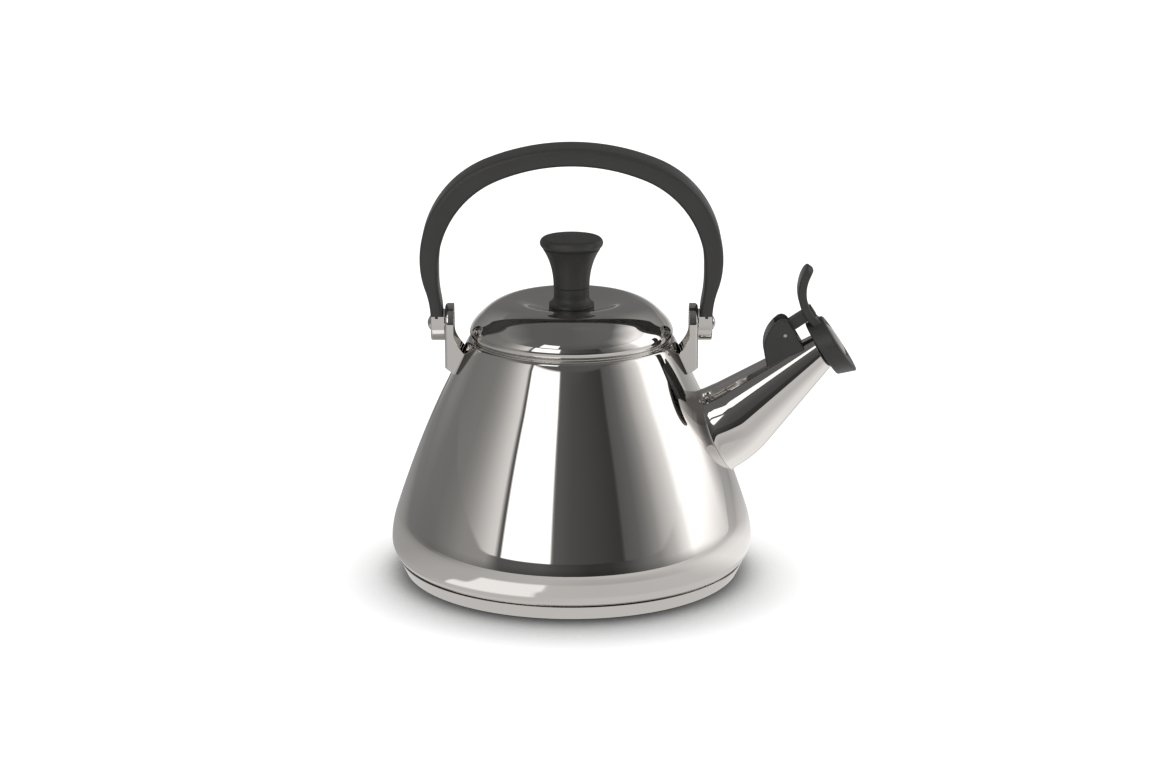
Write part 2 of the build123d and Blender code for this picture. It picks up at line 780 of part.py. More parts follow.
def lever_blank():
    """Thumb tab, arm and hub of the lever, before its bores."""
    centre = (pin.X + tab_centre_x, pin.Z + tab_centre_z)
    outer, inner = tab_radius + tab_thickness / 2, tab_radius - tab_thickness / 2
    sweep = tab_root_angle - tab_tip_angle
    band = Wire(
        [
            CenterArc(centre, outer, tab_tip_angle, sweep),
            CenterArc(centre, inner, tab_tip_angle, sweep),
            Line(polar(centre, outer, tab_tip_angle), polar(centre, inner, tab_tip_angle)),
            Line(polar(centre, outer, tab_root_angle), polar(centre, inner, tab_root_angle)),
        ]
    )
    tab = xz_plate(band, tab_width)
    tip_x, tip_z = polar(centre, tab_radius, tab_tip_angle)
    corners = [
        edge
        for edge in tab.edges()
        if (edge.center() - Vector(tip_x, edge.center().Y, tip_z)).length < near
        and abs(edge.center().Y) > near
    ]
    tab = fillet(corners, tab_corner)
    tip = [
        edge
        for edge in tab.edges().filter_by(Axis.Y)
        if (edge.center() - Vector(tip_x, 0, tip_z)).length < tab_thickness
    ]
    tab = fillet(tip, tab_round)
    arm_end = tab_centre_x / cos(radians(cap_lean)) - tab_radius + tab_thickness
    low, high = pin + cap_up * arm_bottom, pin + cap_up * arm_top
    corners = [low, low + cap_axis * arm_end, high + cap_axis * arm_end, high]
    arm = xz_plate(Polyline(*[(corner.X, corner.Z) for corner in corners], close=True), lever_width)
    return tab + arm + on_pin(arm_top, lever_width)


def thumb_lever():
    """Lever that opens the whistle: pressed back with the thumb it swings the cap up."""
    lever = lever_blank() - cap_disc(cap_hollow, -spare, cap_cavity)
    lever -= on_pin(spring_coil + spring_wire + spring_pocket, spring_width + 2 * side_play)
    return lever - on_pin(pin_radius + running_fit, lever_width + spare)


def saddle_plane(setback, below):
    """A plane parallel to the spout's top line, this far behind and below the pin."""
    origin = pin - heading(saddle_lean) * setback - heading(saddle_lean + 90) * below
    return Plane(origin=origin, x_dir=(0, 1, 0), z_dir=heading(saddle_lean + 90))


def whistle_housing():
    """Moulded saddle on the spout: two cheeks for the hinge pin with a slot between them."""
    places = [(pin.X + ahead, pin.Z + above) for ahead, above, _ in housing_outline]
    outline = make_face(Polyline(*places, close=True))
    for place, (_, _, bend) in zip(places, housing_outline):
        if bend:
            outline = fillet(outline.vertices().sort_by_distance(place)[0], bend)
    block = xz_plate(outline, housing_width)
    rims = [edge for edge in block.edges() if abs(abs(edge.center().Y) - housing_width / 2) < near]
    rims.sort(key=lambda edge: edge.center().Z)
    block = fillet(rims[2:], housing_round) - spout_solid(0)
    size = 4 * housing_width
    on_floor = (Align.CENTER, Align.CENTER, Align.MIN)
    above = saddle_plane(0, slot_floor) * Box(lever_width + 2 * side_play, size, size, align=on_floor)
    from_rear = (Align.MIN, Align.CENTER, Align.CENTER)
    ahead = Pos(pin.X - slot_back, 0, pin.Z) * Box(size, size, size, align=from_rear)
    block -= above & ahead
    return block - on_pin(pin_radius, housing_width + spare) - stud_blank() - nut_blank()


def stud_blank():
    """The stud before its foot is shaped to the spout."""
    return rod(saddle_plane(stud_setback, slot_floor), stud_radius, -stud_depth, 0)


def nut_blank():
    """The nut before it is bored; its top is flush with the slot's floor."""
    hexagon = RegularPolygon(nut_flats / 2, 6, major_radius=False)
    return extrude(saddle_plane(stud_setback, slot_floor + nut_height) * hexagon, amount=nut_height)


def mount_nut():
    """Nut that holds the housing down on the spout."""
    return nut_blank() - stud_blank()


def mount_stud():
    """Stud welded on top of the spout, for the nut."""
    return stud_blank() - spout_solid(0)


def whistle_pin():
    """Hinge pin, pressed into the cheeks of the housing."""
    return on_pin(pin_radius, housing_width - 2 * pin_recess)


def whistle_spring():
    """Torsion spring on the pin: one leg on the slot's rear wall, one under the lever's arm."""
    start = -spring_width / 2 + spring_wire
    coil = []
    for turn in range(spring_turns):
        place = Plane(origin=pin + Vector(0, start + turn * spring_pitch * spring_wire, 0), z_dir=(0, 1, 0))
        coil.append(place * Torus(spring_coil, spring_wire))
    rear_foot = pin + Vector(0, start, -spring_coil)
    front_foot = pin + cap_up * spring_coil - Vector(0, start, 0)
    rear = rod(Plane(origin=rear_foot, z_dir=(-1, 0, 0)), spring_wire, 0, slot_back)
    front = rod(Plane(origin=front_foot, z_dir=cap_axis), spring_wire, 0, spring_leg)
    return sum(coil[1:], coil[0]) + rear + front


# ---- write one file per piece ----------------------------------------------------------------


def pieces():
    yield "body_shell", body_shell()
    yield "body_rim", body_rim()
    yield "floor_pan", floor_pan()
    yield "base_core", base_core()
    yield "base_capsule", base_capsule()
    yield "spout_tube", spout_tube()
    yield "whistle_housing", whistle_housing()
    yield "mount_stud", mount_stud()
    yield "mount_nut", mount_nut()
    yield "whistle_pin", whistle_pin()
    yield "whistle_spring", whistle_spring()
    yield "handle_grip", handle_grip()
    yield "handle_core", handle_core()
    yield "lid_shell", lid_shell()
    yield "lid_skirt", lid_skirt()
    yield "knob_collar", knob_collar()
    yield "knob_grip", knob_grip()
    yield "knob_cap", knob_cap()
    yield "knob_washer", knob_washer()
    yield "knob_screw", knob_screw()
    yield "whistle_cap", whistle_cap()
    yield "whistle_disc", whistle_disc()
    yield "whistle_plate", whistle_plate()
    yield "thumb_lever", thumb_lever()
    outer_washer, inner_washer = spring_washers()
    for name, solid in (
        ("bracket", bracket()),
        ("pivot_rivet", pivot_rivet()),
        ("spring_washer_outer", outer_washer),
        ("spring_washer_inner", inner_washer),
        ("ferrule", handle_ferrule()),
        ("foot_plate", foot_plate()),
    ):
        yield name + "_right", solid
        yield name + "_left", mirror(solid, about=mirror_x)


if __name__ == "__main__":
    os.makedirs("parts", exist_ok=True)
    for name, solid in pieces():
        export_step(solid, f"parts/{name}.step")
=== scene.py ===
"""Looks of a stovetop whistling kettle: polished sheet steel, satin black mouldings, plain studio."""

import json
import math
from contextlib import contextmanager

import bmesh
import bpy
from mathutils import Matrix, Vector
from mathutils.geometry import delaunay_2d_cdt


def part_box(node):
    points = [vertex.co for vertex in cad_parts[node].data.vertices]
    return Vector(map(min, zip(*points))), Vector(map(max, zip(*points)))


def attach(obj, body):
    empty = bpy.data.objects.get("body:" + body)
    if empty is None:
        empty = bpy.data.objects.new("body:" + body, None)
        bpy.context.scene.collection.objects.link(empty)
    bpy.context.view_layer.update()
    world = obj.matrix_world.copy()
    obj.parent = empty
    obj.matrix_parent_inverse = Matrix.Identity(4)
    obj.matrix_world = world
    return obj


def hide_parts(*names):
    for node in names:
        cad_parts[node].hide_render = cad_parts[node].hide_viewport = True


bl_info = {
    "name": "Whistling Kettle",
    "version": (1, 0, 0),
    "blender": (4, 5, 0),
    "location": "3D View > Sidebar > Kettle",
    "description": "Dresses the packed kettle in polished steel and black mouldings",
    "category": "Object",
}

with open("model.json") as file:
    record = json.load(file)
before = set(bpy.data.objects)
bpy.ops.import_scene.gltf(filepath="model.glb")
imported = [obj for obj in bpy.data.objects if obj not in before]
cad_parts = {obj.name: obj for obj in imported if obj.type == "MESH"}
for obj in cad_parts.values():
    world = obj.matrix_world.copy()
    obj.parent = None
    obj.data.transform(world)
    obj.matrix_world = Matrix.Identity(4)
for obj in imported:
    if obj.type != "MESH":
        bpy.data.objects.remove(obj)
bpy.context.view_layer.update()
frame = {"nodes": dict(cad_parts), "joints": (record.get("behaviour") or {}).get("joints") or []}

MM = 0.001
TURN = 2 * math.pi
SMOOTH_ANGLE = math.radians(32)
ROUNDED_ANGLE = math.radians(35)
FLAT_ANGLE = math.radians(1.5)
MERGE = 1e-7
SHEET_MERGE = 2e-6
SPOUT_SIDES = 112
WELD_REACH = 3 * MM
SKIRT_GAP = 0.35 * MM
BRACKET_SINK = 0.4 * MM
RIVET_PLAY = 0.1 * MM
KNOB_FOOT = 12 * MM
KNOB_NARROW = 9.4 * MM
WALL_RADIUS = 5.0
NEARLY_UPRIGHT = math.pi / 2 * 0.999
FLOOR_REACH = 30.0
FLOOR_DROP = 0.02 * MM
SHADOW_REACH = 60 * MM
CAMERA_TARGET = Vector((4.4, 0, 98.36)) * MM
CAMERA_ELEVATION = math.radians(15.227)
CAMERA_DISTANCE = 1682.76 * MM
CAMERA_LENS = 99.57
MIRROR, SATIN, SPRING = "mirror polish", "satin steel", "spring steel"
SPREADER, BLACK = "raw aluminium", "black phenolic"
X_AXIS = Vector((1, 0, 0))
Y_AXIS = Vector((0, 1, 0))


def joint_place(name):
    """Where a hinge of the frame turns."""
    for joint in frame["joints"]:
        if joint["name"] == name:
            return Vector(joint["pos_m"])
    raise RuntimeError(f"the frame has no joint {name}")


PIVOT = joint_place("handle_swing")
PIN = joint_place("whistle_flip")


# ---- sizes and colours a user may change -------------------------------------------------------


def length(label, text, millimetres):
    default = millimetres * MM
    return bpy.props.FloatProperty(
        name=label, description=text, default=default, subtype="DISTANCE", unit="LENGTH", precision=5
    )


def angle(label, text, degrees):
    return bpy.props.FloatProperty(
        name=label, description=text, default=math.radians(degrees), subtype="ANGLE", unit="ROTATION"
    )


def colour(label, text, default):
    return bpy.props.FloatVectorProperty(
        name=label, description=text, default=default, size=3, min=0, max=1, subtype="COLOR"
    )


def share(label, text, default):
    return bpy.props.FloatProperty(
        name=label, description=text, default=default, min=0, max=1, subtype="FACTOR"
    )


class KettleBodySizes(bpy.types.PropertyGroup):
    """Sheet-metal sizes of the body, base and spout."""

    sheet: length("Sheet", "Thickness of the body's sheet steel", 0.8)
    belly_height: length("Belly height", "Height of the widest line", 17.5)
    hip_inset: length("Hip inset", "Hip inside the widest line", 2.6)
    hip_height: length("Hip height", "Height of the hip", 33)
    hip_lean: angle("Hip lean", "Lean of the wall at the hip", 18)
    seam_inset: length("Seam inset", "Seam inside the widest line", 4.9)
    seam_lean: angle("Seam lean", "Lean of the wall at the seam", -50)
    cone_height: length("Cone height", "Height where the wall becomes straight", 100)
    cone_lean: angle("Cone lean", "Lean of the straight wall", 26)
    shoulder_round: length("Shoulder round", "Round between cone and rim", 3.3)
    lid_overhang: length("Lid overhang", "Lid beyond the rim", 1.5)
    rim_ledge: length("Rim ledge", "Flat ledge from shoulder to mouth", 3.9)
    mouth_round: length("Mouth round", "Round at the mouth", 1.5)
    neck_depth: length("Neck depth", "Neck that hangs inside the rim", 7)
    capsule_flare: length("Capsule flare", "How far the base's wall leans out", 3)
    capsule_round: length("Capsule round", "Round at the foot of the base", 1.6)
    bend_x: length("Spout bend ahead", "Bend of the spout ahead of the axis", 83.74)
    bend_z: length("Spout bend height", "Height of the spout's bend", 79.62)
    root_lean: angle("Spout root lean", "Rise of the spout at the body", 30)
    tip_lean: angle("Spout tip lean", "Rise of the spout past its bend", 39.5)
    root_length: length("Spout root length", "Centre line from root to bend", 21)
    root_radius: length("Spout root radius", "Radius at the root", 23)
    bend_radius: length("Spout bend radius", "Radius at the bend", 22)
    tip_radius: length("Spout tip radius", "Radius at the cap", 9.5)
    reach: length("Spout reach", "Bend to the cap's rear face", 61)
    insertion: length("Spout insertion", "Tip inside the cap", 2.6)
    bend_sweep: length("Bend sweep", "Radius of the centre line round the bend", 80)
    weld: length("Weld", "Fine bead where the spout meets the cone", 0.35)


class KettleLidSizes(bpy.types.PropertyGroup):
    """Sizes of the lid and its knob that the frame's boxes don't give."""

    sheet: length("Lid sheet", "Thickness of the lid's steel", 0.7)
    edge_height: length("Edge height", "Widest line above the hem", 2.3)
    crest_inset: length("Crest inset", "Crest circle inside the widest line", 22)
    shoulder_inset: length("Shoulder inset", "Shoulder inside the widest line", 6.8)
    shoulder_drop: length("Shoulder drop", "Shoulder below the crest", 6.8)
    shoulder_slope: angle("Shoulder slope", "Fall of the lid at its shoulder", 44.7)
    dish: length("Dish", "Middle of the lid below its crest", 3.5)
    seat_radius: length("Knob seat", "Flat seat of the knob", 13)
    hem_inset: length("Hem inset", "Hem tucked in under the widest line", 2.4)
    hole: length("Hole", "Radius of the screw's hole", 2.3)
    collar_waist: length("Collar waist", "Waist of the knob's collar", 9.2)
    collar_edge: length("Collar edge", "Rounded edge of the collar's foot", 1.7)
    face_radius: length("Face radius", "Flat top of the knob", 14.4)
    knob_break: length("Knob break", "Small bevel where two parts meet", 0.3)


class KettleHandleSizes(bpy.types.PropertyGroup):
    """Sizes of the arched handle, its feet and the brackets."""

    top_radius: length("Top radius", "Outer arc over the hand", 118)
    top_sweep: angle("Top sweep", "Half angle of that arc", 22.4)
    haunch: length("Haunch", "Inner arc over the hand is this much tighter", 9.5)
    thickness: length("Thickness", "Thickness of the grip", 9.5)
    corner: length("Corner", "Round of the grip's edges", 2.4)
    leg_rise: length("Leg rise", "Inner face straight up to here above the pivot", 25)
    foot_rise: length("Foot rise", "Curve of the leg ends here above the pivot", 3)
    widening: length("Widening", "Full width from here above the pivot", 45)
    ferrule_wall: length("Ferrule wall", "Sheet of the ferrule", 0.8)
    ferrule_round: length("Ferrule round", "Outer round of the ferrule", 0.9)
    bracket_sheet: length("Bracket sheet", "Sheet of the bracket", 1.2)
    bracket_round: length("Bracket round", "Outer round of the bracket", 1.7)
    bracket_lip: length("Bracket lip", "Depth of the flange beside the pivot", 4.5)
    bracket_foot: length("Bracket foot", "Foot of the face below the pivot", 22)
    lip_drop: length("Lip drop", "The flange widens from here below the pivot", 5)
    toe_drop: length("Toe drop", "Top of the flange on the cone, below the pivot", 14.8)
    heel_drop: length("Heel drop", "Foot of the flange, below the pivot", 25.2)
    rivet_radius: length("Rivet radius", "Shank of the pivot rivet", 2.5)
    rivet_head: length("Rivet head", "Radius of the rivet's heads", 3.6)
    rivet_dome: length("Rivet dome", "Height of the rivet's heads", 1.9)


class KettleWhistleSizes(bpy.types.PropertyGroup):
    """Sizes of the whistle, measured from its hinge pin."""

    lean: angle("Cap lean", "Axis of the cap above horizontal", 33.6)
    ahead: length("Cap ahead", "Rear face of the cap ahead of the pin", 11.3)
    below: length("Cap below", "Axis of the cap below the pin", 18)
    rear_radius: length("Cap rear radius", "Radius of the cap's rear face", 15.9)
    front_radius: length("Cap front radius", "Radius of the cap's front face", 16.9)
    depth: length("Cap depth", "Depth of the cap", 9.6)
    drop: length("Cap drop", "Front face lower than the rear one", 2.6)
    wall: length("Cap wall", "Wall of the cap round the spout's tip", 2.4)
    cavity: length("Cap cavity", "Depth of the cap's hollow", 5.6)
    rounding: length("Cap round", "Rounded edges of the cap", 0.9)
    disc_radius: length("Disc radius", "Radius of the bright disc", 10.4)
    disc_sheet: length("Disc sheet", "Sheet of the bright disc", 0.6)
    disc_dome: length("Disc dome", "Dome of the bright disc", 1.4)
    disc_step: length("Disc step", "Disc below the cap's front face", 0.9)
    hole: length("Whistle hole", "Radius of the whistle's hole", 1.1)
    spring_wire: length("Spring wire", "Radius of the spring's wire", 0.35)
    spring_coil: length("Spring coil", "Radius of the spring's coils", 3)


class KettleFinish(bpy.types.PropertyGroup):
    """Colours and finishes."""

    polished: colour("Polished steel", "Mirror-polished stainless steel", (0.74, 0.72, 0.70))
    satin: colour("Satin steel", "Satin stainless steel", (0.62, 0.61, 0.60))
    spring: colour("Spring steel", "Plain spring steel", (0.48, 0.48, 0.47))
    spreader: colour("Heat spreader", "Raw aluminium", (0.70, 0.70, 0.71))
    black: colour("Black moulding", "Satin black phenolic", (0.035, 0.034, 0.033))
    floor: colour("Floor", "Pale studio floor", (0.96, 0.96, 0.96))
    polish_roughness: share("Polish roughness", "Roughness of the mirror polish", 0.015)
    satin_roughness: share("Satin roughness", "Roughness of the satin steel", 0.3)
    moulding_roughness: share("Moulding roughness", "Roughness of the black moulding", 0.42)


# ---- outlines ----------------------------------------------------------------------------------


def hermite(start, end, out_dir, in_dir, steps):
    """Points of a smooth curve between two places with given directions, without the first."""
    p0, p1 = Vector(start), Vector(end)
    chord = (p1 - p0).length
    t0, t1 = Vector(out_dir).normalized() * chord, Vector(in_dir).normalized() * chord
    points = []
    for index in range(1, steps + 1):
        t = index / steps
        a, b = 2 * t**3 - 3 * t**2 + 1, t**3 - 2 * t**2 + t
        c, d = -2 * t**3 + 3 * t**2, t**3 - t**2
        points.append(tuple(p0 * a + t0 * b + p1 * c + t1 * d))
    return points


def arc(centre, radius, start, end, steps):
    """Points of an arc in a plane, from one angle to another."""
    points = []
    for index in range(steps + 1):
        turn = start + (end - start) * index / steps
        points.append((centre[0] + radius * math.cos(turn), centre[1] + radius * math.sin(turn)))
    return points


def line(start, end, steps):
    """Points along a straight run, without the first."""
    a, b = Vector(start), Vector(end)
    return [tuple(a.lerp(b, index / steps)) for index in range(1, steps + 1)]


def inset_profile(points, depth):
    """The same open outline, this far to the right of its running direction."""
    inside = []
    last = len(points) - 1
    for index, point in enumerate(points):
        a, b = Vector(points[max(index - 1, 0)]), Vector(points[min(index + 1, last)])
        run = (b - a).normalized()
        inside.append((point[0] + run.y * depth, point[1] - run.x * depth))
    return inside


def wall_lean(lean):
    """Direction, in radius and height, of a wall that leans inward by this angle."""
    return (-math.sin(lean), math.cos(lean))


# ---- meshes ------------------------------------------------------------------------------------


def in_scene(name, data):
    """A new object of the scene."""
    piece = bpy.data.objects.new(name, data)
    bpy.context.scene.collection.objects.link(piece)
    return piece


@contextmanager
def edited(mesh):
    """A mesh opened for editing and written back afterwards."""
    work = bmesh.new()
    work.from_mesh(mesh)
    yield work
    work.to_mesh(mesh)
    work.free()


def smoothed(mesh):
    """Smooth shading with the sharp edges kept."""
    mesh.shade_smooth()
    mesh.set_sharp_from_angle(angle=SMOOTH_ANGLE)


def finish_mesh(name, mesh, material):
    """Closes off a mesh: merged doubles, outward faces, smooth shading, one material."""
    with edited(mesh) as work:
        bmesh.ops.remove_doubles(work, verts=work.verts, dist=MERGE)
        bmesh.ops.dissolve_degenerate(work, edges=work.edges, dist=MERGE)
        bmesh.ops.recalc_face_normals(work, faces=work.faces)
    smoothed(mesh)
    mesh.materials.clear()
    mesh.materials.append(material)
    return in_scene(name, mesh)


def mesh_of(name, points, faces):
    mesh = bpy.data.meshes.new(name)
    mesh.from_pydata([tuple(point) for point in points], [], faces)
    return mesh


def strip_faces(rows, columns, closed_rows=False, closed_columns=False):
    """Quads of a grid of points stored row by row."""
    faces = []
    for row in range(rows if closed_rows else rows - 1):
        here, above = row * columns, (row + 1) % rows * columns
        for column in range(columns if closed_columns else columns - 1):
            beside = (column + 1) % columns
            faces.append((here + column, here + beside, above + beside, above + column))
    return faces


def tube_ends(count, columns):
    """Faces that close both ends of a tube of this many points."""
    return [tuple(range(columns)), tuple(range(count - 1, count - 1 - columns, -1))]


def turned(profile, steps, place=None, closed=True):
    """Points and faces of an outline turned about the axis of a place (Z without one)."""
    points = []
    for index in range(steps):
        c, s = math.cos(TURN * index / steps), math.sin(TURN * index / steps)
        points += [Vector((r * c, r * s, z)) for r, z in profile]
    if place is not None:
        points = [place @ point for point in points]
    return points, strip_faces(steps, len(profile), closed_rows=True, closed_columns=closed)


def turned_piece(name, profile, steps, material, place=None, closed=True):
    return finish_mesh(name, mesh_of(name, *turned(profile, steps, place, closed)), material)


def apply_modifiers(piece):
    """Turns a piece's modifiers into its plain mesh."""
    graph = bpy.context.evaluated_depsgraph_get()
    mesh = bpy.data.meshes.new_from_object(piece.evaluated_get(graph))
    piece.modifiers.clear()
    piece.data = mesh
    return piece


def cut(piece, cutter):
    """Takes one closed piece out of another, exactly."""
    tool = piece.modifiers.new("cut", "BOOLEAN")
    tool.operation = "DIFFERENCE"
    tool.solver = "EXACT"
    tool.object = cutter
    apply_modifiers(piece)
    bpy.data.objects.remove(cutter)
    smoothed(piece.data)
    return piece


def softened(name, cad_node, material, width, segments=3):
    """A copy of a CAD node's solid with its edges rounded."""
    mesh = frame["nodes"][cad_node].data.copy()
    with edited(mesh) as work:
        bmesh.ops.remove_doubles(work, verts=work.verts, dist=SHEET_MERGE)
        bmesh.ops.dissolve_limit(
            work,
            angle_limit=FLAT_ANGLE,
            verts=work.verts,
            edges=work.edges,
            use_dissolve_boundaries=False,
        )
    piece = finish_mesh(name, mesh, material)
    rounding = piece.modifiers.new("round", "BEVEL")
    rounding.width = width
    rounding.segments = segments
    rounding.limit_method = "ANGLE"
    rounding.angle_limit = ROUNDED_ANGLE
    rounding.harden_normals = False
    apply_modifiers(piece)
    smoothed(piece.data)
    return piece


def place_piece(piece, body, slot, *nodes):
    """Rides a finished piece on a body and hides the CAD nodes it stands for."""
    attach(piece, body)
    if nodes:
        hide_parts(*nodes)
    return piece


def dress(material, *nodes):
    """Gives CAD nodes that stay a finished material."""
    for name in nodes:
        for holder in frame["nodes"][name].material_slots:
            holder.material = material


# ---- materials ---------------------------------------------------------------------------------


def new_tree(name, kind, inputs, outputs):
    """An empty node tree with named sockets, and its two ends."""
    tree = bpy.data.node_groups.new(name, kind)
    for label, sort, default in inputs:
        socket = tree.interface.new_socket(name=label, in_out="INPUT", socket_type="NodeSocket" + sort)
        if default is not None:
            socket.default_value = default
    for label, sort in outputs:
        tree.interface.new_socket(name=label, in_out="OUTPUT", socket_type="NodeSocket" + sort)
    return tree, node(tree, "NodeGroupInput"), node(tree, "NodeGroupOutput")


def effect_group(name, values):
    """A shader group that takes a vector and these values and puts out roughness, height and mask."""
    inputs = [("Vector", "Vector", None)] + [(label, "Float", value) for label, value in values.items()]
    outputs = [(label, "Float") for label in ("Roughness", "Height", "Mask")]
    return new_tree(name, "ShaderNodeTree", inputs, outputs)


def node(tree, kind, values=None, **settings):
    """Adds a node, sets its properties and the values of its sockets."""
    made = tree.nodes.new(kind)
    for key, value in settings.items():
        setattr(made, key, value)
    for key, value in (values or {}).items():
        made.inputs[key].default_value = value
    return made


def join(tree, *pairs):
    """Joins sockets, each pair given as node, output, node, input."""
    for source, output, target, socket in pairs:
        tree.links.new(source.outputs[output], target.inputs[socket])


def bare_material(name):
    """A material with an empty node tree, and that tree."""
    material = bpy.data.materials.new(name)
    material.use_nodes = True
    material.node_tree.nodes.clear()
    return material, material.node_tree


def polish_group():
    """Fine marks of buffing that run round the axis, with soft smears over them."""
    values = {"Mark Scale": 900.0, "Smear Scale": 22.0, "Low": 0.02, "High": 0.06}
    group, given, out = effect_group("polish marks", values)
    squeeze = node(group, "ShaderNodeVectorMath", {1: (0.12, 0.12, 1.0)}, operation="MULTIPLY")
    marks = node(group, "ShaderNodeTexNoise", {"Detail": 3.0, "Roughness": 0.6})
    smears = node(group, "ShaderNodeTexNoise", {"Detail": 4.0, "Roughness": 0.55, "Distortion": 0.4})
    blend = node(group, "ShaderNodeMath", {1: 0.35}, operation="MULTIPLY_ADD")
    spread = node(group, "ShaderNodeMapRange", {"From Min": 0.35, "From Max": 1.0})
    join(
        group, (given, "Vector", squeeze, 0), (squeeze, 0, marks, "Vector"),
        (given, "Mark Scale", marks, "Scale"), (given, "Vector", smears, "Vector"),
        (given, "Smear Scale", smears, "Scale"), (marks, "Fac", blend, 0),
        (smears, "Fac", blend, 2), (blend, 0, spread, "Value"), (given, "Low", spread, "To Min"),
        (given, "High", spread, "To Max"), (spread, "Result", out, "Roughness"),
        (marks, "Fac", out, "Height"), (smears, "Fac", out, "Mask"),
    )
    return group


def grain_group():
    """Fine grain of a moulding with slow shifts of tone."""
    values = {"Grain Scale": 2600.0, "Cloud Scale": 60.0, "Low": 0.38, "High": 0.5}
    group, given, out = effect_group("moulded grain", values)
    grain = node(group, "ShaderNodeTexNoise", {"Detail": 2.0, "Roughness": 0.7})
    cloud = node(group, "ShaderNodeTexNoise", {"Detail": 4.0, "Roughness": 0.6})
    spread = node(group, "ShaderNodeMapRange", {"From Min": 0.3, "From Max": 0.7})
    join(
        group, (given, "Vector", grain, "Vector"), (given, "Grain Scale", grain, "Scale"),
        (given, "Vector", cloud, "Vector"), (given, "Cloud Scale", cloud, "Scale"),
        (cloud, "Fac", spread, "Value"), (given, "Low", spread, "To Min"),
        (given, "High", spread, "To Max"), (spread, "Result", out, "Roughness"),
        (grain, "Fac", out, "Height"), (cloud, "Fac", out, "Mask"),
    )
    return group


def finish_material(name, group, tone, values, metallic, bump, tint=0.05):
    """A material whose roughness, tone and relief come from an effect group."""
    tree = bare_material(name)[1]
    where = node(tree, "ShaderNodeTexCoord")
    effect = node(tree, "ShaderNodeGroup", node_tree=group)
    for key, value in values.items():
        effect.inputs[key].default_value = value
    deep, pale = [c * (1 - tint) for c in tone], [min(c * (1 + tint), 1) for c in tone]
    shade = node(tree, "ShaderNodeMix", data_type="RGBA")
    shade.inputs["A"].default_value = (*deep, 1)
    shade.inputs["B"].default_value = (*pale, 1)
    relief = node(tree, "ShaderNodeBump", {"Strength": bump, "Distance": 0.05 * MM})
    shader = node(tree, "ShaderNodeBsdfPrincipled", {"Metallic": metallic})
    out = node(tree, "ShaderNodeOutputMaterial")
    join(
        tree, (where, "Object", effect, "Vector"), (effect, "Mask", shade, "Factor"),
        (shade, "Result", shader, "Base Color"), (effect, "Roughness", shader, "Roughness"),
        (effect, "Height", relief, "Height"), (relief, "Normal", shader, "Normal"),
        (shader, "BSDF", out, "Surface"),
    )


def make_finishes():
    """Every finish of the kettle."""
    look = bpy.context.scene.kettle_finish
    polish, grain = polish_group(), grain_group()
    low, soft, rough = look.polish_roughness, look.satin_roughness, look.moulding_roughness
    marks = {"Low": low * 0.7, "High": low * 1.5}
    finish_material(MIRROR, polish, look.polished, marks, 1.0, 0.012, 0.02)
    marks = {"Low": soft * 0.8, "High": soft * 1.25, "Mark Scale": 2400.0}
    finish_material(SATIN, polish, look.satin, marks, 1.0, 0.25)
    marks = {"Low": 0.3, "High": 0.42, "Mark Scale": 3000.0}
    finish_material(SPRING, polish, look.spring, marks, 1.0, 0.2)
    marks = {"Low": 0.35, "High": 0.5, "Mark Scale": 1500.0}
    finish_material(SPREADER, polish, look.spreader, marks, 1.0, 0.3)
    marks = {"Low": rough * 0.88, "High": rough * 1.15}
    finish_material(BLACK, grain, look.black, marks, 0.0, 0.35, 0.18)


def made_of(name):
    """A finish of the kettle; all of them are made when the first is asked for."""
    if name not in bpy.data.materials:
        make_finishes()
    return bpy.data.materials[name]


# ---- body and base -----------------------------------------------------------------------------


def cone_top(sizes):
    """Where the straight wall meets the round of the shoulder."""
    rim_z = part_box("body_shell")[1].z
    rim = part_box("lid_shell")[1].x - sizes.lid_overhang
    lean, bend = sizes.cone_lean, sizes.shoulder_round
    return rim + bend * math.cos(lean), rim_z - bend * (1 - math.sin(lean))


def body_outline(sizes):
    """Outer outline of the body, from the seam with the base to the edge of the neck."""
    low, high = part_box("body_shell")
    belly, rim_z = high.x, high.z
    top_x, top_z = cone_top(sizes)
    lean = sizes.cone_lean
    cone_x = top_x + (top_z - sizes.cone_height) * math.tan(lean)
    seam = (belly - sizes.seam_inset, low.z)
    widest = (belly, sizes.belly_height)
    hip = (belly - sizes.hip_inset, sizes.hip_height)
    cone = (cone_x, sizes.cone_height)
    hip_dir, cone_dir = wall_lean(sizes.hip_lean), wall_lean(lean)
    points = [seam]
    points += hermite(seam, widest, wall_lean(sizes.seam_lean), (0, 1), 10)
    points += hermite(widest, hip, (0, 1), hip_dir, 12)
    points += hermite(hip, cone, hip_dir, cone_dir, 40)
    points += line(cone, (top_x, top_z), 8)
    bend = sizes.shoulder_round
    centre = (top_x - bend * math.cos(lean), rim_z - bend)
    points += arc(centre, bend, lean, math.pi / 2, 8)[1:]
    turn = sizes.mouth_round
    mouth = centre[0] - sizes.rim_ledge
    points += line((centre[0], rim_z), (mouth + turn, rim_z), 2)
    points += arc((mouth + turn, rim_z - turn), turn, math.pi / 2, math.pi, 6)[1:]
    points += line((mouth, rim_z - turn), (mouth, rim_z - sizes.neck_depth), 2)
    return points


def wall_radius(outline, height):
    """Radius of the outer wall at a height below the shoulder."""
    for (r0, z0), (r1, z1) in zip(outline, outline[1:]):
        if z0 <= height <= z1:
            return r0 + (r1 - r0) * (height - z0) / (z1 - z0)
    raise RuntimeError("the height is outside the wall")


def heading(lean):
    """Unit vector in the middle plane at this angle above horizontal."""
    return Vector((math.cos(lean), 0, math.sin(lean)))


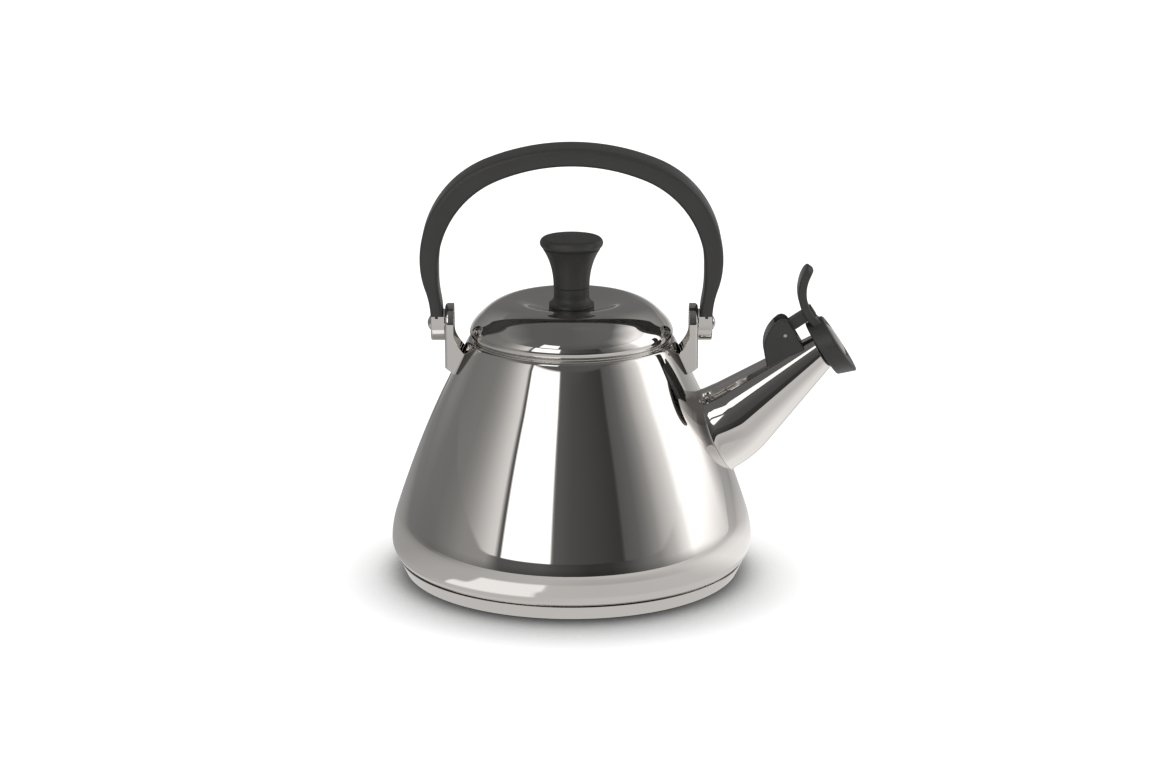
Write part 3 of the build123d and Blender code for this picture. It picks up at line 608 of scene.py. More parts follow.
def spout_station(sizes, along):
    """Centre, lean and radius of the spout at this distance along its centre line."""
    turn = sizes.tip_lean - sizes.root_lean
    bend = Vector((sizes.bend_x, 0, sizes.bend_z))
    lead = sizes.root_length - sizes.bend_sweep * math.tan(turn / 2)
    swept = sizes.bend_sweep * turn
    if along < lead:
        lean = sizes.root_lean
        centre = bend - heading(lean) * (sizes.root_length - along)
    elif along > lead + swept:
        lean = sizes.tip_lean
        centre = bend + heading(lean) * (sizes.bend_sweep * math.tan(turn / 2) + along - lead - swept)
    else:
        lean = sizes.root_lean + (along - lead) / sizes.bend_sweep
        start = bend - heading(sizes.root_lean) * sizes.bend_sweep * math.tan(turn / 2)
        hub = start + heading(sizes.root_lean + math.pi / 2) * sizes.bend_sweep
        centre = hub + heading(lean - math.pi / 2) * sizes.bend_sweep
    past, ease = along - lead - swept / 2, swept / 2
    root_slope = (sizes.root_radius - sizes.bend_radius) / sizes.root_length
    tip_slope = (sizes.bend_radius - sizes.tip_radius) / sizes.reach
    if past < -ease:
        radius = sizes.bend_radius - past * root_slope
    elif past > ease:
        radius = sizes.bend_radius - past * tip_slope
    else:
        eased = (past + ease) ** 2 / (4 * ease)
        radius = sizes.bend_radius - past * root_slope - eased * (tip_slope - root_slope)
    return centre, lean, radius


def spout_point(sizes, along, turn, depth, flare=0.0):
    """A point on the spout this deep inside its outer surface."""
    centre, lean, radius = spout_station(sizes, along)
    side = Y_AXIS * math.cos(turn) + heading(lean + math.pi / 2) * math.sin(turn)
    return centre + side * (radius - depth + flare)


def bisect(test, low, high):
    """Where a test changes from true to false between two numbers."""
    for _ in range(40):
        middle = (low + high) / 2
        if test(middle):
            low = middle
        else:
            high = middle
    return (low + high) / 2


def cap_place(whistle):
    """Frame of the cap: origin at its rear face, Z along its axis, X down."""
    axis, up = heading(whistle.lean), heading(whistle.lean + math.pi / 2)
    origin = PIN + axis * whistle.ahead - up * whistle.below
    place = Matrix((-up, axis.cross(-up), axis)).transposed().to_4x4()
    place.translation = origin
    return place


def spout_grid(sizes, outline, depth, root_shift=0.0, along_steps=44):
    """Rows of points from the cone to the square cut inside the cap, one row for each turn."""
    whistle = bpy.context.scene.kettle_whistle
    axis = heading(whistle.lean)
    end = cap_place(whistle).translation + axis * sizes.insertion
    total = sizes.root_length + sizes.reach * 1.4
    rows = []
    for index in range(SPOUT_SIDES):
        turn = TURN * index / SPOUT_SIDES

        def inside_body(along):
            point = spout_point(sizes, along, turn, depth)
            return math.hypot(point.x, point.y) < wall_radius(outline, point.z) - root_shift

        def before_end(along):
            return (spout_point(sizes, along, turn, depth) - end).dot(axis) < 0

        root, tip = bisect(inside_body, 0.0, total * 0.6), bisect(before_end, 0.0, total)
        row = []
        for step in range(along_steps + 1):
            # Rows are closer together near the root.
            part = step / along_steps
            part = part * (0.35 + 0.65 * part)
            along = root + (tip - root) * part
            rise = max(0.0, 1 - (along - root) / WELD_REACH)
            flare = sizes.weld * rise**3 if depth == 0 else 0.0
            row.append(spout_point(sizes, along, turn, depth, flare))
        rows.append(row)
    return rows


def spout_mesh(name, sizes, outline):
    """The whole tube: outer and inner wall, the cut tip and the edge at the body."""
    outer = spout_grid(sizes, outline, 0.0)
    inner = spout_grid(sizes, outline, sizes.sheet, root_shift=sizes.sheet * 0.6)
    points = [point for row, back in zip(outer, inner) for point in row + back[::-1]]
    columns = 2 * len(outer[0])
    return mesh_of(name, points, strip_faces(len(outer), columns, closed_rows=True, closed_columns=True))


def spout_cutter(sizes):
    """A closed plug with the spout's bore, to open the body behind the spout."""
    stations = [sizes.root_length * (-0.9 + 0.2 * index) for index in range(12)]
    turns = [TURN * index / SPOUT_SIDES for index in range(SPOUT_SIDES)]
    points = [spout_point(sizes, along, turn, sizes.sheet) for along in stations for turn in turns]
    faces = strip_faces(len(stations), SPOUT_SIDES, closed_columns=True)
    faces += tube_ends(len(points), SPOUT_SIDES)
    mesh = mesh_of("spout cutter", points, faces)
    with edited(mesh) as work:
        bmesh.ops.recalc_face_normals(work, faces=work.faces)
    return in_scene("spout_cutter", mesh)


class KETTLE_OT_body(bpy.types.Operator):
    """Polished body with the opening for the spout, and its floor"""

    bl_idname = "kettle.body"
    bl_label = "Body"

    def execute(self, context):
        sizes = context.scene.kettle_body
        outer = body_outline(sizes)
        inner = inset_profile(outer, -sizes.sheet)
        shell = turned_piece("body_skin", outer + inner[::-1], 256, made_of(MIRROR))
        cut(shell, spout_cutter(sizes))
        place_piece(shell, "kettle_body", "polished_steel", "body_shell", "body_rim")
        dress(made_of(SATIN), "floor_pan")
        dress(made_of(SPREADER), "base_core")
        return {"FINISHED"}


class KETTLE_OT_base(bpy.types.Operator):
    """Polished dish of the base with its rounded foot"""

    bl_idname = "kettle.base"
    bl_label = "Base"

    def execute(self, context):
        sizes = context.scene.kettle_body
        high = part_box("base_capsule")[1]
        top, foot, bend = high.x, high.x - sizes.capsule_flare, sizes.capsule_round
        lean = math.atan2(sizes.capsule_flare, high.z)
        outer = [(0.0, 0.0)] + line((0, 0), (foot - bend, 0), 16)
        outer += arc((foot - bend, bend), bend, -math.pi / 2, -lean, 8)[1:]
        outer += line(outer[-1], (top, high.z), 4)
        lip = sizes.sheet
        profile = outer + [(top - lip, high.z), (foot - lip, lip), (0.0, lip)]
        dish = turned_piece("base_dish", profile, 224, made_of(MIRROR))
        place_piece(dish, "kettle_body", "polished_steel", "base_capsule")
        return {"FINISHED"}


class KETTLE_OT_spout(bpy.types.Operator):
    """Tapered spout, bent once, with its fine weld on the cone"""

    bl_idname = "kettle.spout"
    bl_label = "Spout"

    def execute(self, context):
        sizes = context.scene.kettle_body
        mesh = spout_mesh("spout", sizes, body_outline(sizes))
        tube = finish_mesh("spout", mesh, made_of(MIRROR))
        place_piece(tube, "kettle_body", "polished_steel", "spout_tube")
        return {"FINISHED"}


# ---- brackets and ferrules ---------------------------------------------------------------------


def web_faces(loop, hole, hole_steps=28):
    """Triangles that fill a flat outline round a hole, as 2-D points and faces."""
    ring = arc((0, 0), hole, 0, TURN, hole_steps)[:-1]
    flat = [Vector(point) for point in list(loop) + ring]
    count = len(loop)
    edges = [(index, (index + 1) % count) for index in range(count)]
    edges += [(count + index, count + (index + 1) % hole_steps) for index in range(hole_steps)]
    points, _, faces, _, _, _ = delaunay_2d_cdt(flat, edges, [], 1, 1e-9)
    kept = []
    for face in faces:
        centre = sum((points[index] for index in face), Vector((0, 0))) / len(face)
        if centre.length > hole * 0.98 and inside_loop(centre, loop):
            kept.append(face)
    return points, kept


def inside_loop(point, loop):
    """True for a 2-D point inside a closed outline."""
    inside = False
    for (x0, y0), (x1, y1) in zip(loop, list(loop[1:]) + [loop[0]]):
        if (y0 > point[1]) != (y1 > point[1]):
            if point[0] < x0 + (point[1] - y0) * (x1 - x0) / (y1 - y0):
                inside = not inside
    return inside


def cup_mesh(name, face, radius, bend, hole, way, leg_end, back_x, arc_steps=36, leg_steps=22):
    """A drawn cup: flat web at x = face round the pivot, half-round on one side, two legs on the other.

    way is 1 where the round is on top and the legs go down, -1 for the other way up.  leg_end(x)
    gives how far the legs reach from the pivot, and back_x(y, z) where the flange ends.
    """
    border = []
    for index in range(leg_steps):
        border.append((radius, 1 - index / leg_steps, 0.0))
    for index in range(arc_steps + 1):
        border.append((None, 0.0, math.pi * index / arc_steps))
    for index in range(1, leg_steps + 1):
        border.append((-radius, index / leg_steps, math.pi))
    corner = 6
    flange = 10
    rows = []
    web = []
    for y, leg, turn in border:
        out_y, out_z = (math.cos(turn), math.sin(turn)) if y is None else (math.copysign(1, y), 0.0)

        def border_point(x, inset):
            if y is None:
                return Vector((x, (radius - inset) * out_y, PIVOT.z + way * (radius - inset) * out_z))
            return Vector((x, (radius - inset) * out_y, PIVOT.z - way * leg_end(x) * leg))

        last = border_point(face - bend, 0.0)
        back = face - bend
        # The leg ends lower further back, so both are found together.
        for _ in range(12):
            back = back_x(radius * out_y, border_point(back, 0.0).z)
        row = []
        for step in range(flange):
            x = back + (face - bend - back) * step / flange
            row.append(border_point(x, 0.0))
        row.append(last)
        for step in range(1, corner + 1):
            bent = math.pi / 2 * step / corner
            row.append(border_point(face - bend + bend * math.sin(bent), bend * (1 - math.cos(bent))))
        rows.append(row)
        web.append((row[-1].y, row[-1].z - PIVOT.z))
    points = [point for row in rows for point in row]
    faces = strip_faces(len(rows), len(rows[0]))
    flat, fill = web_faces(web, hole)
    first = len(points)
    points += [Vector((face, point[0], point[1] + PIVOT.z)) for point in flat]
    faces += [tuple(first + index for index in item) for item in fill]
    return mesh_of(name, points, faces)


def sheet_piece(name, mesh, thickness):
    """Gives a drawn sheet its thickness, inwards from the surface that was drawn."""
    with edited(mesh) as work:
        bmesh.ops.remove_doubles(work, verts=work.verts, dist=SHEET_MERGE)
        bmesh.ops.recalc_face_normals(work, faces=work.faces)
        if max(work.faces, key=lambda item: item.calc_center_median().x).normal.x < 0:
            bmesh.ops.reverse_faces(work, faces=work.faces)
    piece = in_scene(name, mesh)
    wall = piece.modifiers.new("wall", "SOLIDIFY")
    wall.thickness = thickness
    wall.offset = -1
    wall.use_even_offset = True
    wall.use_quality_normals = True
    apply_modifiers(piece)
    mesh = piece.data
    bpy.data.objects.remove(piece)
    return finish_mesh(name, mesh, made_of(MIRROR))


def place_pair(right, body, slot, name, cad_name):
    """Places a right-hand piece and its mirror image on a body."""
    mesh = right.data.copy()
    mesh.transform(Matrix.Scale(-1, 4, X_AXIS))
    mesh.flip_normals()
    left = in_scene(name + "_left", mesh)
    place_piece(right, body, slot, cad_name + "_right")
    place_piece(left, body, slot, cad_name + "_left")


class KETTLE_OT_brackets(bpy.types.Operator):
    """Drawn steel brackets, round on top, with flanges that run in to the cone"""

    bl_idname = "kettle.brackets"
    bl_label = "Brackets"

    def execute(self, context):
        handle = context.scene.kettle_handle
        outline = body_outline(context.scene.kettle_body)
        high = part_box("bracket_right")[1]
        face, radius = high.x, high.y
        lip = face - handle.bracket_lip
        toe = PIVOT.z - handle.toe_drop
        lip_end = PIVOT.z - handle.lip_drop

        def on_cone(y, z):
            return math.sqrt(wall_radius(outline, z) ** 2 - y * y) - BRACKET_SINK

        def back_x(y, z):
            if z >= lip_end:
                return lip
            if z <= toe:
                return on_cone(y, z)
            part = (lip_end - z) / (lip_end - toe)
            return lip + (on_cone(y, toe) - lip) * part**1.6

        def leg_end(x):
            part = min(max((face - x) / handle.bracket_lip, 0.0), 1.0)
            return handle.bracket_foot + (handle.heel_drop - handle.bracket_foot) * part

        hole = handle.rivet_radius + RIVET_PLAY
        mesh = cup_mesh("bracket", face, radius, handle.bracket_round, hole, 1, leg_end, back_x)
        right = sheet_piece("bracket_plate_right", mesh, handle.bracket_sheet)
        place_pair(right, "kettle_body", "polished_steel", "bracket_plate", "bracket")
        return {"FINISHED"}


class KETTLE_OT_ferrules(bpy.types.Operator):
    """Steel cups over the feet of the handle"""

    bl_idname = "kettle.ferrules"
    bl_label = "Ferrules"

    def execute(self, context):
        handle = context.scene.kettle_handle
        low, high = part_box("ferrule_right")
        rise = high.z - PIVOT.z
        mesh = cup_mesh(
            "ferrule",
            high.x,
            high.y,
            handle.ferrule_round,
            handle.rivet_radius,
            -1,
            lambda x: rise,
            lambda y, z: low.x,
            leg_steps=4,
        )
        right = sheet_piece("ferrule_cup_right", mesh, handle.ferrule_wall)
        place_pair(right, "handle", "polished_steel", "ferrule_cup", "ferrule")
        dress(made_of(MIRROR), "foot_plate_left", "foot_plate_right")
        return {"FINISHED"}


# ---- repeated fittings by geometry nodes -------------------------------------------------------


def repeat_tree(name):
    """A tree that sets one piece at every given point, turned as the point says."""
    inputs = [("Geometry", "Geometry", None), ("Piece", "Object", None), ("Finish", "Material", None)]
    tree, given, out = new_tree(name, "GeometryNodeTree", inputs, [("Geometry", "Geometry")])
    source = node(tree, "GeometryNodeObjectInfo")
    turn = node(tree, "GeometryNodeInputNamedAttribute", {"Name": "turn"}, data_type="FLOAT_VECTOR")
    spin = node(tree, "FunctionNodeEulerToRotation")
    spread = node(tree, "GeometryNodeInstanceOnPoints")
    real = node(tree, "GeometryNodeRealizeInstances")
    finish = node(tree, "GeometryNodeSetMaterial")
    join(
        tree, (given, "Piece", source, "Object"), (given, "Geometry", spread, "Points"),
        (source, "Geometry", spread, "Instance"), (turn, "Attribute", spin, "Euler"),
        (spin, "Rotation", spread, "Rotation"), (spread, "Instances", real, "Geometry"),
        (real, "Geometry", finish, "Geometry"), (given, "Finish", finish, "Material"),
        (finish, "Geometry", out, "Geometry"),
    )
    return tree


def coil_tree(name):
    """A tree that winds a round wire into a close coil along Y."""
    inputs = [("Geometry", "Geometry", None), ("Wire Radius", "Float", 0.35 * MM)]
    inputs += [("Coil Radius", "Float", 3 * MM), ("Width", "Float", 3 * MM), ("Turns", "Float", 5.0)]
    inputs += [("Place", "Vector", None), ("Finish", "Material", None)]
    tree, given, out = new_tree(name, "GeometryNodeTree", inputs, [("Geometry", "Geometry")])
    spiral = node(tree, "GeometryNodeCurveSpiral", {"Resolution": 40})
    wire = node(tree, "GeometryNodeCurvePrimitiveCircle", {"Resolution": 10})
    sweep = node(tree, "GeometryNodeCurveToMesh", {"Fill Caps": True})
    set_place = node(tree, "GeometryNodeTransform", {"Rotation": (math.pi / 2, 0, 0)})
    real = node(tree, "GeometryNodeRealizeInstances")
    finish = node(tree, "GeometryNodeSetMaterial")
    join(
        tree, (given, "Turns", spiral, "Rotations"),
        (given, "Coil Radius", spiral, "Start Radius"),
        (given, "Coil Radius", spiral, "End Radius"), (given, "Width", spiral, "Height"),
        (given, "Wire Radius", wire, "Radius"), (spiral, "Curve", sweep, "Curve"),
        (wire, "Curve", sweep, "Profile Curve"), (sweep, "Mesh", set_place, "Geometry"),
        (given, "Place", set_place, "Translation"), (set_place, "Geometry", real, "Geometry"),
        (real, "Geometry", finish, "Geometry"), (given, "Finish", finish, "Material"),
        (finish, "Geometry", out, "Geometry"),
    )
    return tree


def grown(name, start, tree, values):
    """Runs a geometry tree on a start mesh and keeps the result as a plain piece."""
    holder = in_scene(name, start)
    tool = holder.modifiers.new("grow", "NODES")
    tool.node_group = tree
    for item in tree.interface.items_tree:
        if item.in_out == "INPUT" and item.name in values:
            tool[item.identifier] = values[item.name]
    apply_modifiers(holder)
    mesh = holder.data
    material = mesh.materials[0]
    bpy.data.objects.remove(holder)
    return finish_mesh(name, mesh, material)


def repeated(name, source, places, finish):
    """One piece at several places, each a location and a turn."""
    start = mesh_of(name + " places", [place for place, _ in places], [])
    turns = start.attributes.new("turn", "FLOAT_VECTOR", "POINT")
    for index, (_, turn) in enumerate(places):
        turns.data[index].vector = turn
    piece = grown(name, start, repeat_tree(name), {"Piece": source, "Finish": finish})
    bpy.data.objects.remove(source)
    return piece


class KETTLE_OT_rivets(bpy.types.Operator):
    """Pivot rivets with domed heads and their coned washers"""

    bl_idname = "kettle.rivets"
    bl_label = "Rivets and washers"

    def execute(self, context):
        handle, mirror = context.scene.kettle_handle, made_of(MIRROR)
        low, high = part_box("pivot_rivet_right")
        dome, side = handle.rivet_dome, 0.5 * MM
        head, shank = handle.rivet_head, handle.rivet_radius
        rise = dome - side
        bend = (head**2 + rise**2) / (2 * rise)
        sweep = math.asin(head / bend)
        crown = arc((0.0, 0.0), bend, math.pi / 2, math.pi / 2 - sweep, 10)
        lift = high.x - bend
        outer = [(r, z + lift) for r, z in crown] + [(head, high.x - dome), (shank, high.x - dome)]
        drop = low.x + bend
        inner = [(shank, low.x + dome), (head, low.x + dome)] + [(r, drop - z) for r, z in crown[::-1]]
        source = turned_piece("rivet source", outer + inner, 40, mirror, closed=False)
        places = [((0, 0, PIVOT.z), (0, math.pi / 2, 0)), ((0, 0, PIVOT.z), (0, -math.pi / 2, 0))]
        rivets = repeated("pivot_rivets", source, places, mirror)
        place_piece(rivets, "handle", "satin_steel", "pivot_rivet_left", "pivot_rivet_right")
        for face in ("outer", "inner"):
            dress(made_of(SPRING), f"spring_washer_{face}_left", f"spring_washer_{face}_right")
        return {"FINISHED"}


# ---- handle ------------------------------------------------------------------------------------


def leg_curve(start, end, steps):
    """Points of an S from one upright to the next, without the first."""
    half_x, half_z = abs(end[0] - start[0]) / 2, (start[1] - end[1]) / 2
    way = math.copysign(1, end[0] - start[0])
    radius = (half_x**2 + half_z**2) / (2 * half_x)
    sweep = math.asin(min(half_z / radius, 1))
    first, second = [], []
    for index in range(1, steps + 1):
        turn = sweep * index / steps
        aside, fall = way * radius * (1 - math.cos(turn)), radius * math.sin(turn)
        first.append((start[0] + aside, start[1] - fall))
    for index in range(steps - 1, -1, -1):
        turn = sweep * index / steps
        aside, fall = way * radius * (1 - math.cos(turn)), radius * math.sin(turn)
        second.append((end[0] - aside, end[1] + fall))
    return first + second


def arch_curve(handle, foot_x, depth=0.0, leg_top=math.inf, haunch=0.0):
    """Right half of the arch this deep inside its outer surface, from the top to the foot."""
    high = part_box("handle_grip")[1]
    span, apex = high.x - depth, high.z - depth
    sweep = handle.top_sweep
    top = handle.top_radius - depth - haunch
    side = (span - top * math.sin(sweep)) / (1 - math.sin(sweep))
    side_centre = ((top - side) * math.sin(sweep), apex - top + (top - side) * math.cos(sweep))
    points = arc((0, apex - top), top, math.pi / 2, math.pi / 2 - sweep, 22)
    points += arc(side_centre, side, math.pi / 2 - sweep, 0, 44)[1:]
    waist = min(leg_top, side_centre[1] - 0.5 * MM)
    points += line((span, side_centre[1]), (span, waist), 6)
    points += leg_curve((span, waist), (foot_x, PIVOT.z + handle.foot_rise), 14)
    return points


def even(points, count):
    """The same run of points, spaced evenly."""
    spans = [math.dist(a, b) for a, b in zip(points, points[1:])]
    total = sum(spans)
    result, index, passed = [], 0, 0.0
    for step in range(count):
        target = total * step / (count - 1)
        while index < len(spans) - 1 and passed + spans[index] < target:
            passed += spans[index]
            index += 1
        part = (target - passed) / spans[index]
        a, b = points[index], points[index + 1]
        result.append((a[0] + (b[0] - a[0]) * part, a[1] + (b[1] - a[1]) * part))
    return result


def section(half_width, half_depth, corner, steps=5):
    """A rectangle with rounded corners, as points across and through."""
    points = []
    for turn, way_a, way_b in ((0, 1, 1), (1, -1, 1), (2, -1, -1), (3, 1, -1)):
        centre = (way_a * (half_width - corner), way_b * (half_depth - corner))
        points += arc(centre, corner, turn * math.pi / 2, (turn + 1) * math.pi / 2, steps)
    return points


class KETTLE_OT_handle(bpy.types.Operator):
    """Moulded black grip that arches from ferrule to ferrule"""

    bl_idname = "kettle.handle"
    bl_label = "Handle"

    def execute(self, context):
        handle = context.scene.kettle_handle
        ferrule_low, ferrule_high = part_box("ferrule_right")
        leg_top = PIVOT.z + handle.leg_rise
        outer = arch_curve(handle, ferrule_high.x)
        inner = arch_curve(handle, ferrule_low.x, handle.thickness, leg_top, handle.haunch)
        count = 120
        outer, inner = even(outer, count), even(inner, count)
        narrow, wide = ferrule_high.y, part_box("handle_grip")[1].y
        full = PIVOT.z + handle.widening
        rows = []
        for (x0, z0), (x1, z1) in zip(outer, inner):
            middle = Vector(((x0 + x1) / 2, 0, (z0 + z1) / 2))
            across = Vector((x0 - x1, 0, z0 - z1))
            part = min(max((middle.z - ferrule_high.z) / (full - ferrule_high.z), 0.0), 1.0)
            part = part * part * (3 - 2 * part)
            half_width = narrow + (wide - narrow) * part
            half_depth = across.length / 2
            across.normalize()
            shape = section(half_width, half_depth, min(handle.corner, half_depth * 0.9))
            rows.append([middle + Y_AXIS * a + across * b for a, b in shape])
        other = [[Vector((-p.x, p.y, p.z)) for p in row] for row in rows[:0:-1]]
        rows = other + rows
        rows = [row for row in rows if max(p.z for p in row) > ferrule_high.z - 1.5 * MM]
        points = [point for row in rows for point in row]
        columns = len(rows[0])
        faces = strip_faces(len(rows), columns, closed_columns=True)
        faces.append(tuple(range(columns - 1, -1, -1)))
        faces.append(tuple(range(len(points) - columns, len(points))))
        grip = finish_mesh("grip", mesh_of("grip", points, faces), made_of(BLACK))
        place_piece(grip, "handle", "black_phenolic", "handle_grip")
        dress(made_of(SATIN), "handle_core")
        return {"FINISHED"}


# ---- lid and knob ------------------------------------------------------------------------------


def lid_outline(lid):
    """Outer outline of the lid, from the hole in its middle to the hem."""
    low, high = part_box("lid_shell")
    edge, crest_z = high.x, high.z
    edge_z = low.z + lid.edge_height
    seat_z = crest_z - lid.dish
    seat, crest = (lid.seat_radius, seat_z), (edge - lid.crest_inset, crest_z)
    shoulder = (edge - lid.shoulder_inset, crest_z - lid.shoulder_drop)
    fall = (math.cos(lid.shoulder_slope), -math.sin(lid.shoulder_slope))
    points = [(lid.hole, seat_z)] + line((lid.hole, seat_z), seat, 4)
    points += hermite(seat, crest, (1, 0), (1, 0), 14)
    points += hermite(crest, shoulder, (1, 0), fall, 18)
    points += hermite(shoulder, (edge, edge_z), fall, (0, -1), 16)
    points += hermite((edge, edge_z), (edge - lid.hem_inset, low.z), (0, -1), (-1, 0), 8)
    return points


class KETTLE_OT_lid(bpy.types.Operator):
    """Domed lid with its tucked-in hem, and the skirt that locates it"""

    bl_idname = "kettle.lid"
    bl_label = "Lid"

    def execute(self, context):
        lid = context.scene.kettle_lid
        outer = lid_outline(lid)
        inner = inset_profile(outer, lid.sheet)
        dome = turned_piece("lid_dome", outer + inner[::-1], 224, made_of(MIRROR))
        place_piece(dome, "lid", "polished_steel", "lid_shell")
        low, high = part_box("lid_skirt")
        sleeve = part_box("body_shell")[1].z
        neck = context.scene.kettle_body
        inner_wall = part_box("lid_shell")[1].x - neck.lid_overhang - neck.rim_ledge - SKIRT_GAP
        wall = lid.sheet
        profile = [(high.x, high.z), (high.x, sleeve), (inner_wall + wall, sleeve)]
        profile += arc((inner_wall + wall, sleeve - wall), wall, math.pi / 2, math.pi, 5)[1:]
        profile += [(inner_wall, low.z), (inner_wall - wall, low.z), (inner_wall - wall, high.z)]
        skirt = turned_piece("lid_ring", profile, 160, made_of(SATIN))
        place_piece(skirt, "lid", "satin_steel", "lid_skirt")
        return {"FINISHED"}


class KETTLE_OT_knob(bpy.types.Operator):
    """Waisted black knob in three parts"""

    bl_idname = "kettle.knob"
    bl_label = "Knob"

    def execute(self, context):
        lid, black = context.scene.kettle_lid, made_of(BLACK)
        step, waist = lid.knob_break, lid.collar_waist
        low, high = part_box("knob_collar")
        foot = KNOB_FOOT - step
        profile = [(0.0, low.z), (foot - step, low.z)]
        profile += hermite((foot - step, low.z), (foot, low.z + lid.collar_edge), (1, 0), (0, 1), 6)
        middle = (waist, (low.z + high.z) / 2)
        profile += hermite((foot, low.z + lid.collar_edge), middle, (-0.8, 0.5), (-0.12, 1), 12)
        profile += line(middle, (waist, high.z - step), 3)
        profile += [(waist - step, high.z), (0.0, high.z)]
        collar = turned_piece("collar", profile, 96, black)
        place_piece(collar, "lid", "black_phenolic", "knob_collar")
        low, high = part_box("knob_grip")
        top, narrow = high.x, KNOB_NARROW
        profile = [(0.0, low.z), (narrow - step, low.z), (narrow, low.z + step)]
        profile += hermite((narrow, low.z + step), (top, high.z - step), (0, 1), (0.55, 0.83), 24)
        profile += [(top - step, high.z), (0.0, high.z)]
        neck = turned_piece("knob_neck", profile, 96, black)
        place_piece(neck, "lid", "black_phenolic", "knob_grip")
        low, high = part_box("knob_cap")
        face = lid.face_radius
        profile = [(0.0, low.z), (top - step, low.z), (top, low.z + step)]
        profile += hermite((top, low.z + step), (high.x, (low.z + high.z) / 2), (0.9, 0.45), (0, 1), 8)
        profile += hermite((high.x, (low.z + high.z) / 2), (face, high.z - step), (0, 1), (-1, 0.12), 8)
        profile += hermite((face, high.z - step), (0.0, high.z), (-1, 0.04), (-1, 0), 12)
        button = turned_piece("knob_button", profile, 96, black)
        place_piece(button, "lid", "black_phenolic", "knob_cap")
        dress(made_of(SATIN), "knob_washer", "knob_screw")
        return {"FINISHED"}


# ---- whistle -----------------------------------------------------------------------------------


def whistle_cap_mesh(name, whistle):
    """Tapered cap whose front face sits lower than its rear one, hollow at both ends."""
    rear, front, depth = whistle.rear_radius, whistle.front_radius, whistle.depth
    bend = whistle.rounding
    hollow = rear - whistle.wall
    outer = arc((front - bend, depth - bend), bend, math.pi / 2, 0, 6)
    rear_round = arc((rear - bend, bend), bend, 0, -math.pi / 2, 6)
    profile = outer + line(outer[-1], rear_round[0], 8) + rear_round[1:]
    lip = 0.4 * MM
    profile += [(hollow + lip, 0.0), (hollow, lip), (hollow, whistle.cavity)]
    profile += [(whistle.hole, whistle.cavity)]
    floor = whistle.cavity + whistle.disc_sheet
    chamber = whistle.disc_radius - 2 * MM
    seat = depth - whistle.disc_step
    profile += [(whistle.hole, floor), (chamber, floor), (chamber, seat)]
    profile += [(whistle.disc_radius, seat), (whistle.disc_radius, depth - lip / 2)]
    profile += [(whistle.disc_radius + lip / 2, depth)]
    points, faces = turned(profile, 96)
    place = cap_place(whistle)
    shifted = []
    for point in points:
        radius = math.hypot(point.x, point.y)
        share_out = min(max((radius - whistle.disc_radius) / (hollow - whistle.disc_radius), 0.0), 1.0)
        slide = whistle.drop * max(point.z, 0.0) / depth * share_out
        shifted.append(place @ Vector((point.x + slide, point.y, point.z)))
    return mesh_of(name, shifted, faces)


def disc_mesh(name, whistle):
    """Bright front disc, domed outwards round the whistle's hole."""
    low = whistle.depth - whistle.disc_step
    high = low + whistle.disc_sheet
    foot, dome = whistle.disc_radius - 1.2 * MM, whistle.disc_dome
    profile = [(whistle.hole, low + dome), (whistle.hole, high + dome - 0.1 * MM)]
    profile += [(whistle.hole + 0.1 * MM, high + dome)]
    profile += hermite(profile[-1], (foot, high), (1, 0), (1, -0.35), 18)
    profile += [(whistle.disc_radius - 0.1 * MM, high), (whistle.disc_radius, high - 0.1 * MM)]
    profile += [(whistle.disc_radius, low), (foot, low)]
    profile += hermite((foot, low), (whistle.hole, low + dome), (-1, 0.35), (-1, 0), 10)[:-1]
    points, faces = turned(profile, 96, cap_place(whistle))
    return mesh_of(name, points, faces)


class KETTLE_OT_whistle(bpy.types.Operator):
    """Whistle cap with its bright disc and the thumb lever"""

    bl_idname = "kettle.whistle"
    bl_label = "Whistle"

    def execute(self, context):
        whistle, black = context.scene.kettle_whistle, made_of(BLACK)
        cap = finish_mesh("cap", whistle_cap_mesh("cap", whistle), black)
        place_piece(cap, "whistle", "black_phenolic", "whistle_cap")
        disc = finish_mesh("disc", disc_mesh("disc", whistle), made_of(MIRROR))
        place_piece(disc, "whistle", "polished_steel", "whistle_disc")
        lever = softened("lever", "thumb_lever", black, 0.45 * MM)
        place_piece(lever, "whistle", "black_phenolic", "thumb_lever")
        dress(made_of(SATIN), "whistle_plate")
        return {"FINISHED"}


class KETTLE_OT_housing(bpy.types.Operator):
    """Moulded saddle on the spout with its pin, nut and spring"""

    bl_idname = "kettle.housing"
    bl_label = "Housing"

    def execute(self, context):
        whistle = context.scene.kettle_whistle
        housing = softened("housing", "whistle_housing", made_of(BLACK), 0.3 * MM, 2)
        place_piece(housing, "kettle_body", "black_phenolic", "whistle_housing")
        start = mesh_of("spring start", [PIN], [])
        low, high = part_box("whistle_spring")
        width = high.y - low.y - 2 * whistle.spring_wire
        values = {
            "Wire Radius": whistle.spring_wire,
            "Coil Radius": whistle.spring_coil,
            "Width": width,
            "Turns": 5.25,
            "Place": PIN + Y_AXIS * width / 2,
            "Finish": made_of(SPRING),
        }
        coil = grown("spring", start, coil_tree("spring coil"), values)
        place_piece(coil, "kettle_body", "spring_steel", "whistle_spring")
        dress(made_of(SATIN), "whistle_pin", "mount_stud", "mount_nut")
        return {"FINISHED"}


# ---- stage -------------------------------------------------------------------------------------


def camera_on(target, elevation, distance, lens):
    """A level camera in front that looks down at a place."""
    data = bpy.data.cameras.new("camera")
    data.lens, data.sensor_width = lens, 36
    holder = in_scene("camera", data)
    back = Vector((0, -math.cos(elevation), math.sin(elevation))) * distance
    holder.location = target + back
    holder.rotation_euler = (math.pi / 2 - elevation, 0, 0)
    bpy.context.scene.camera = holder


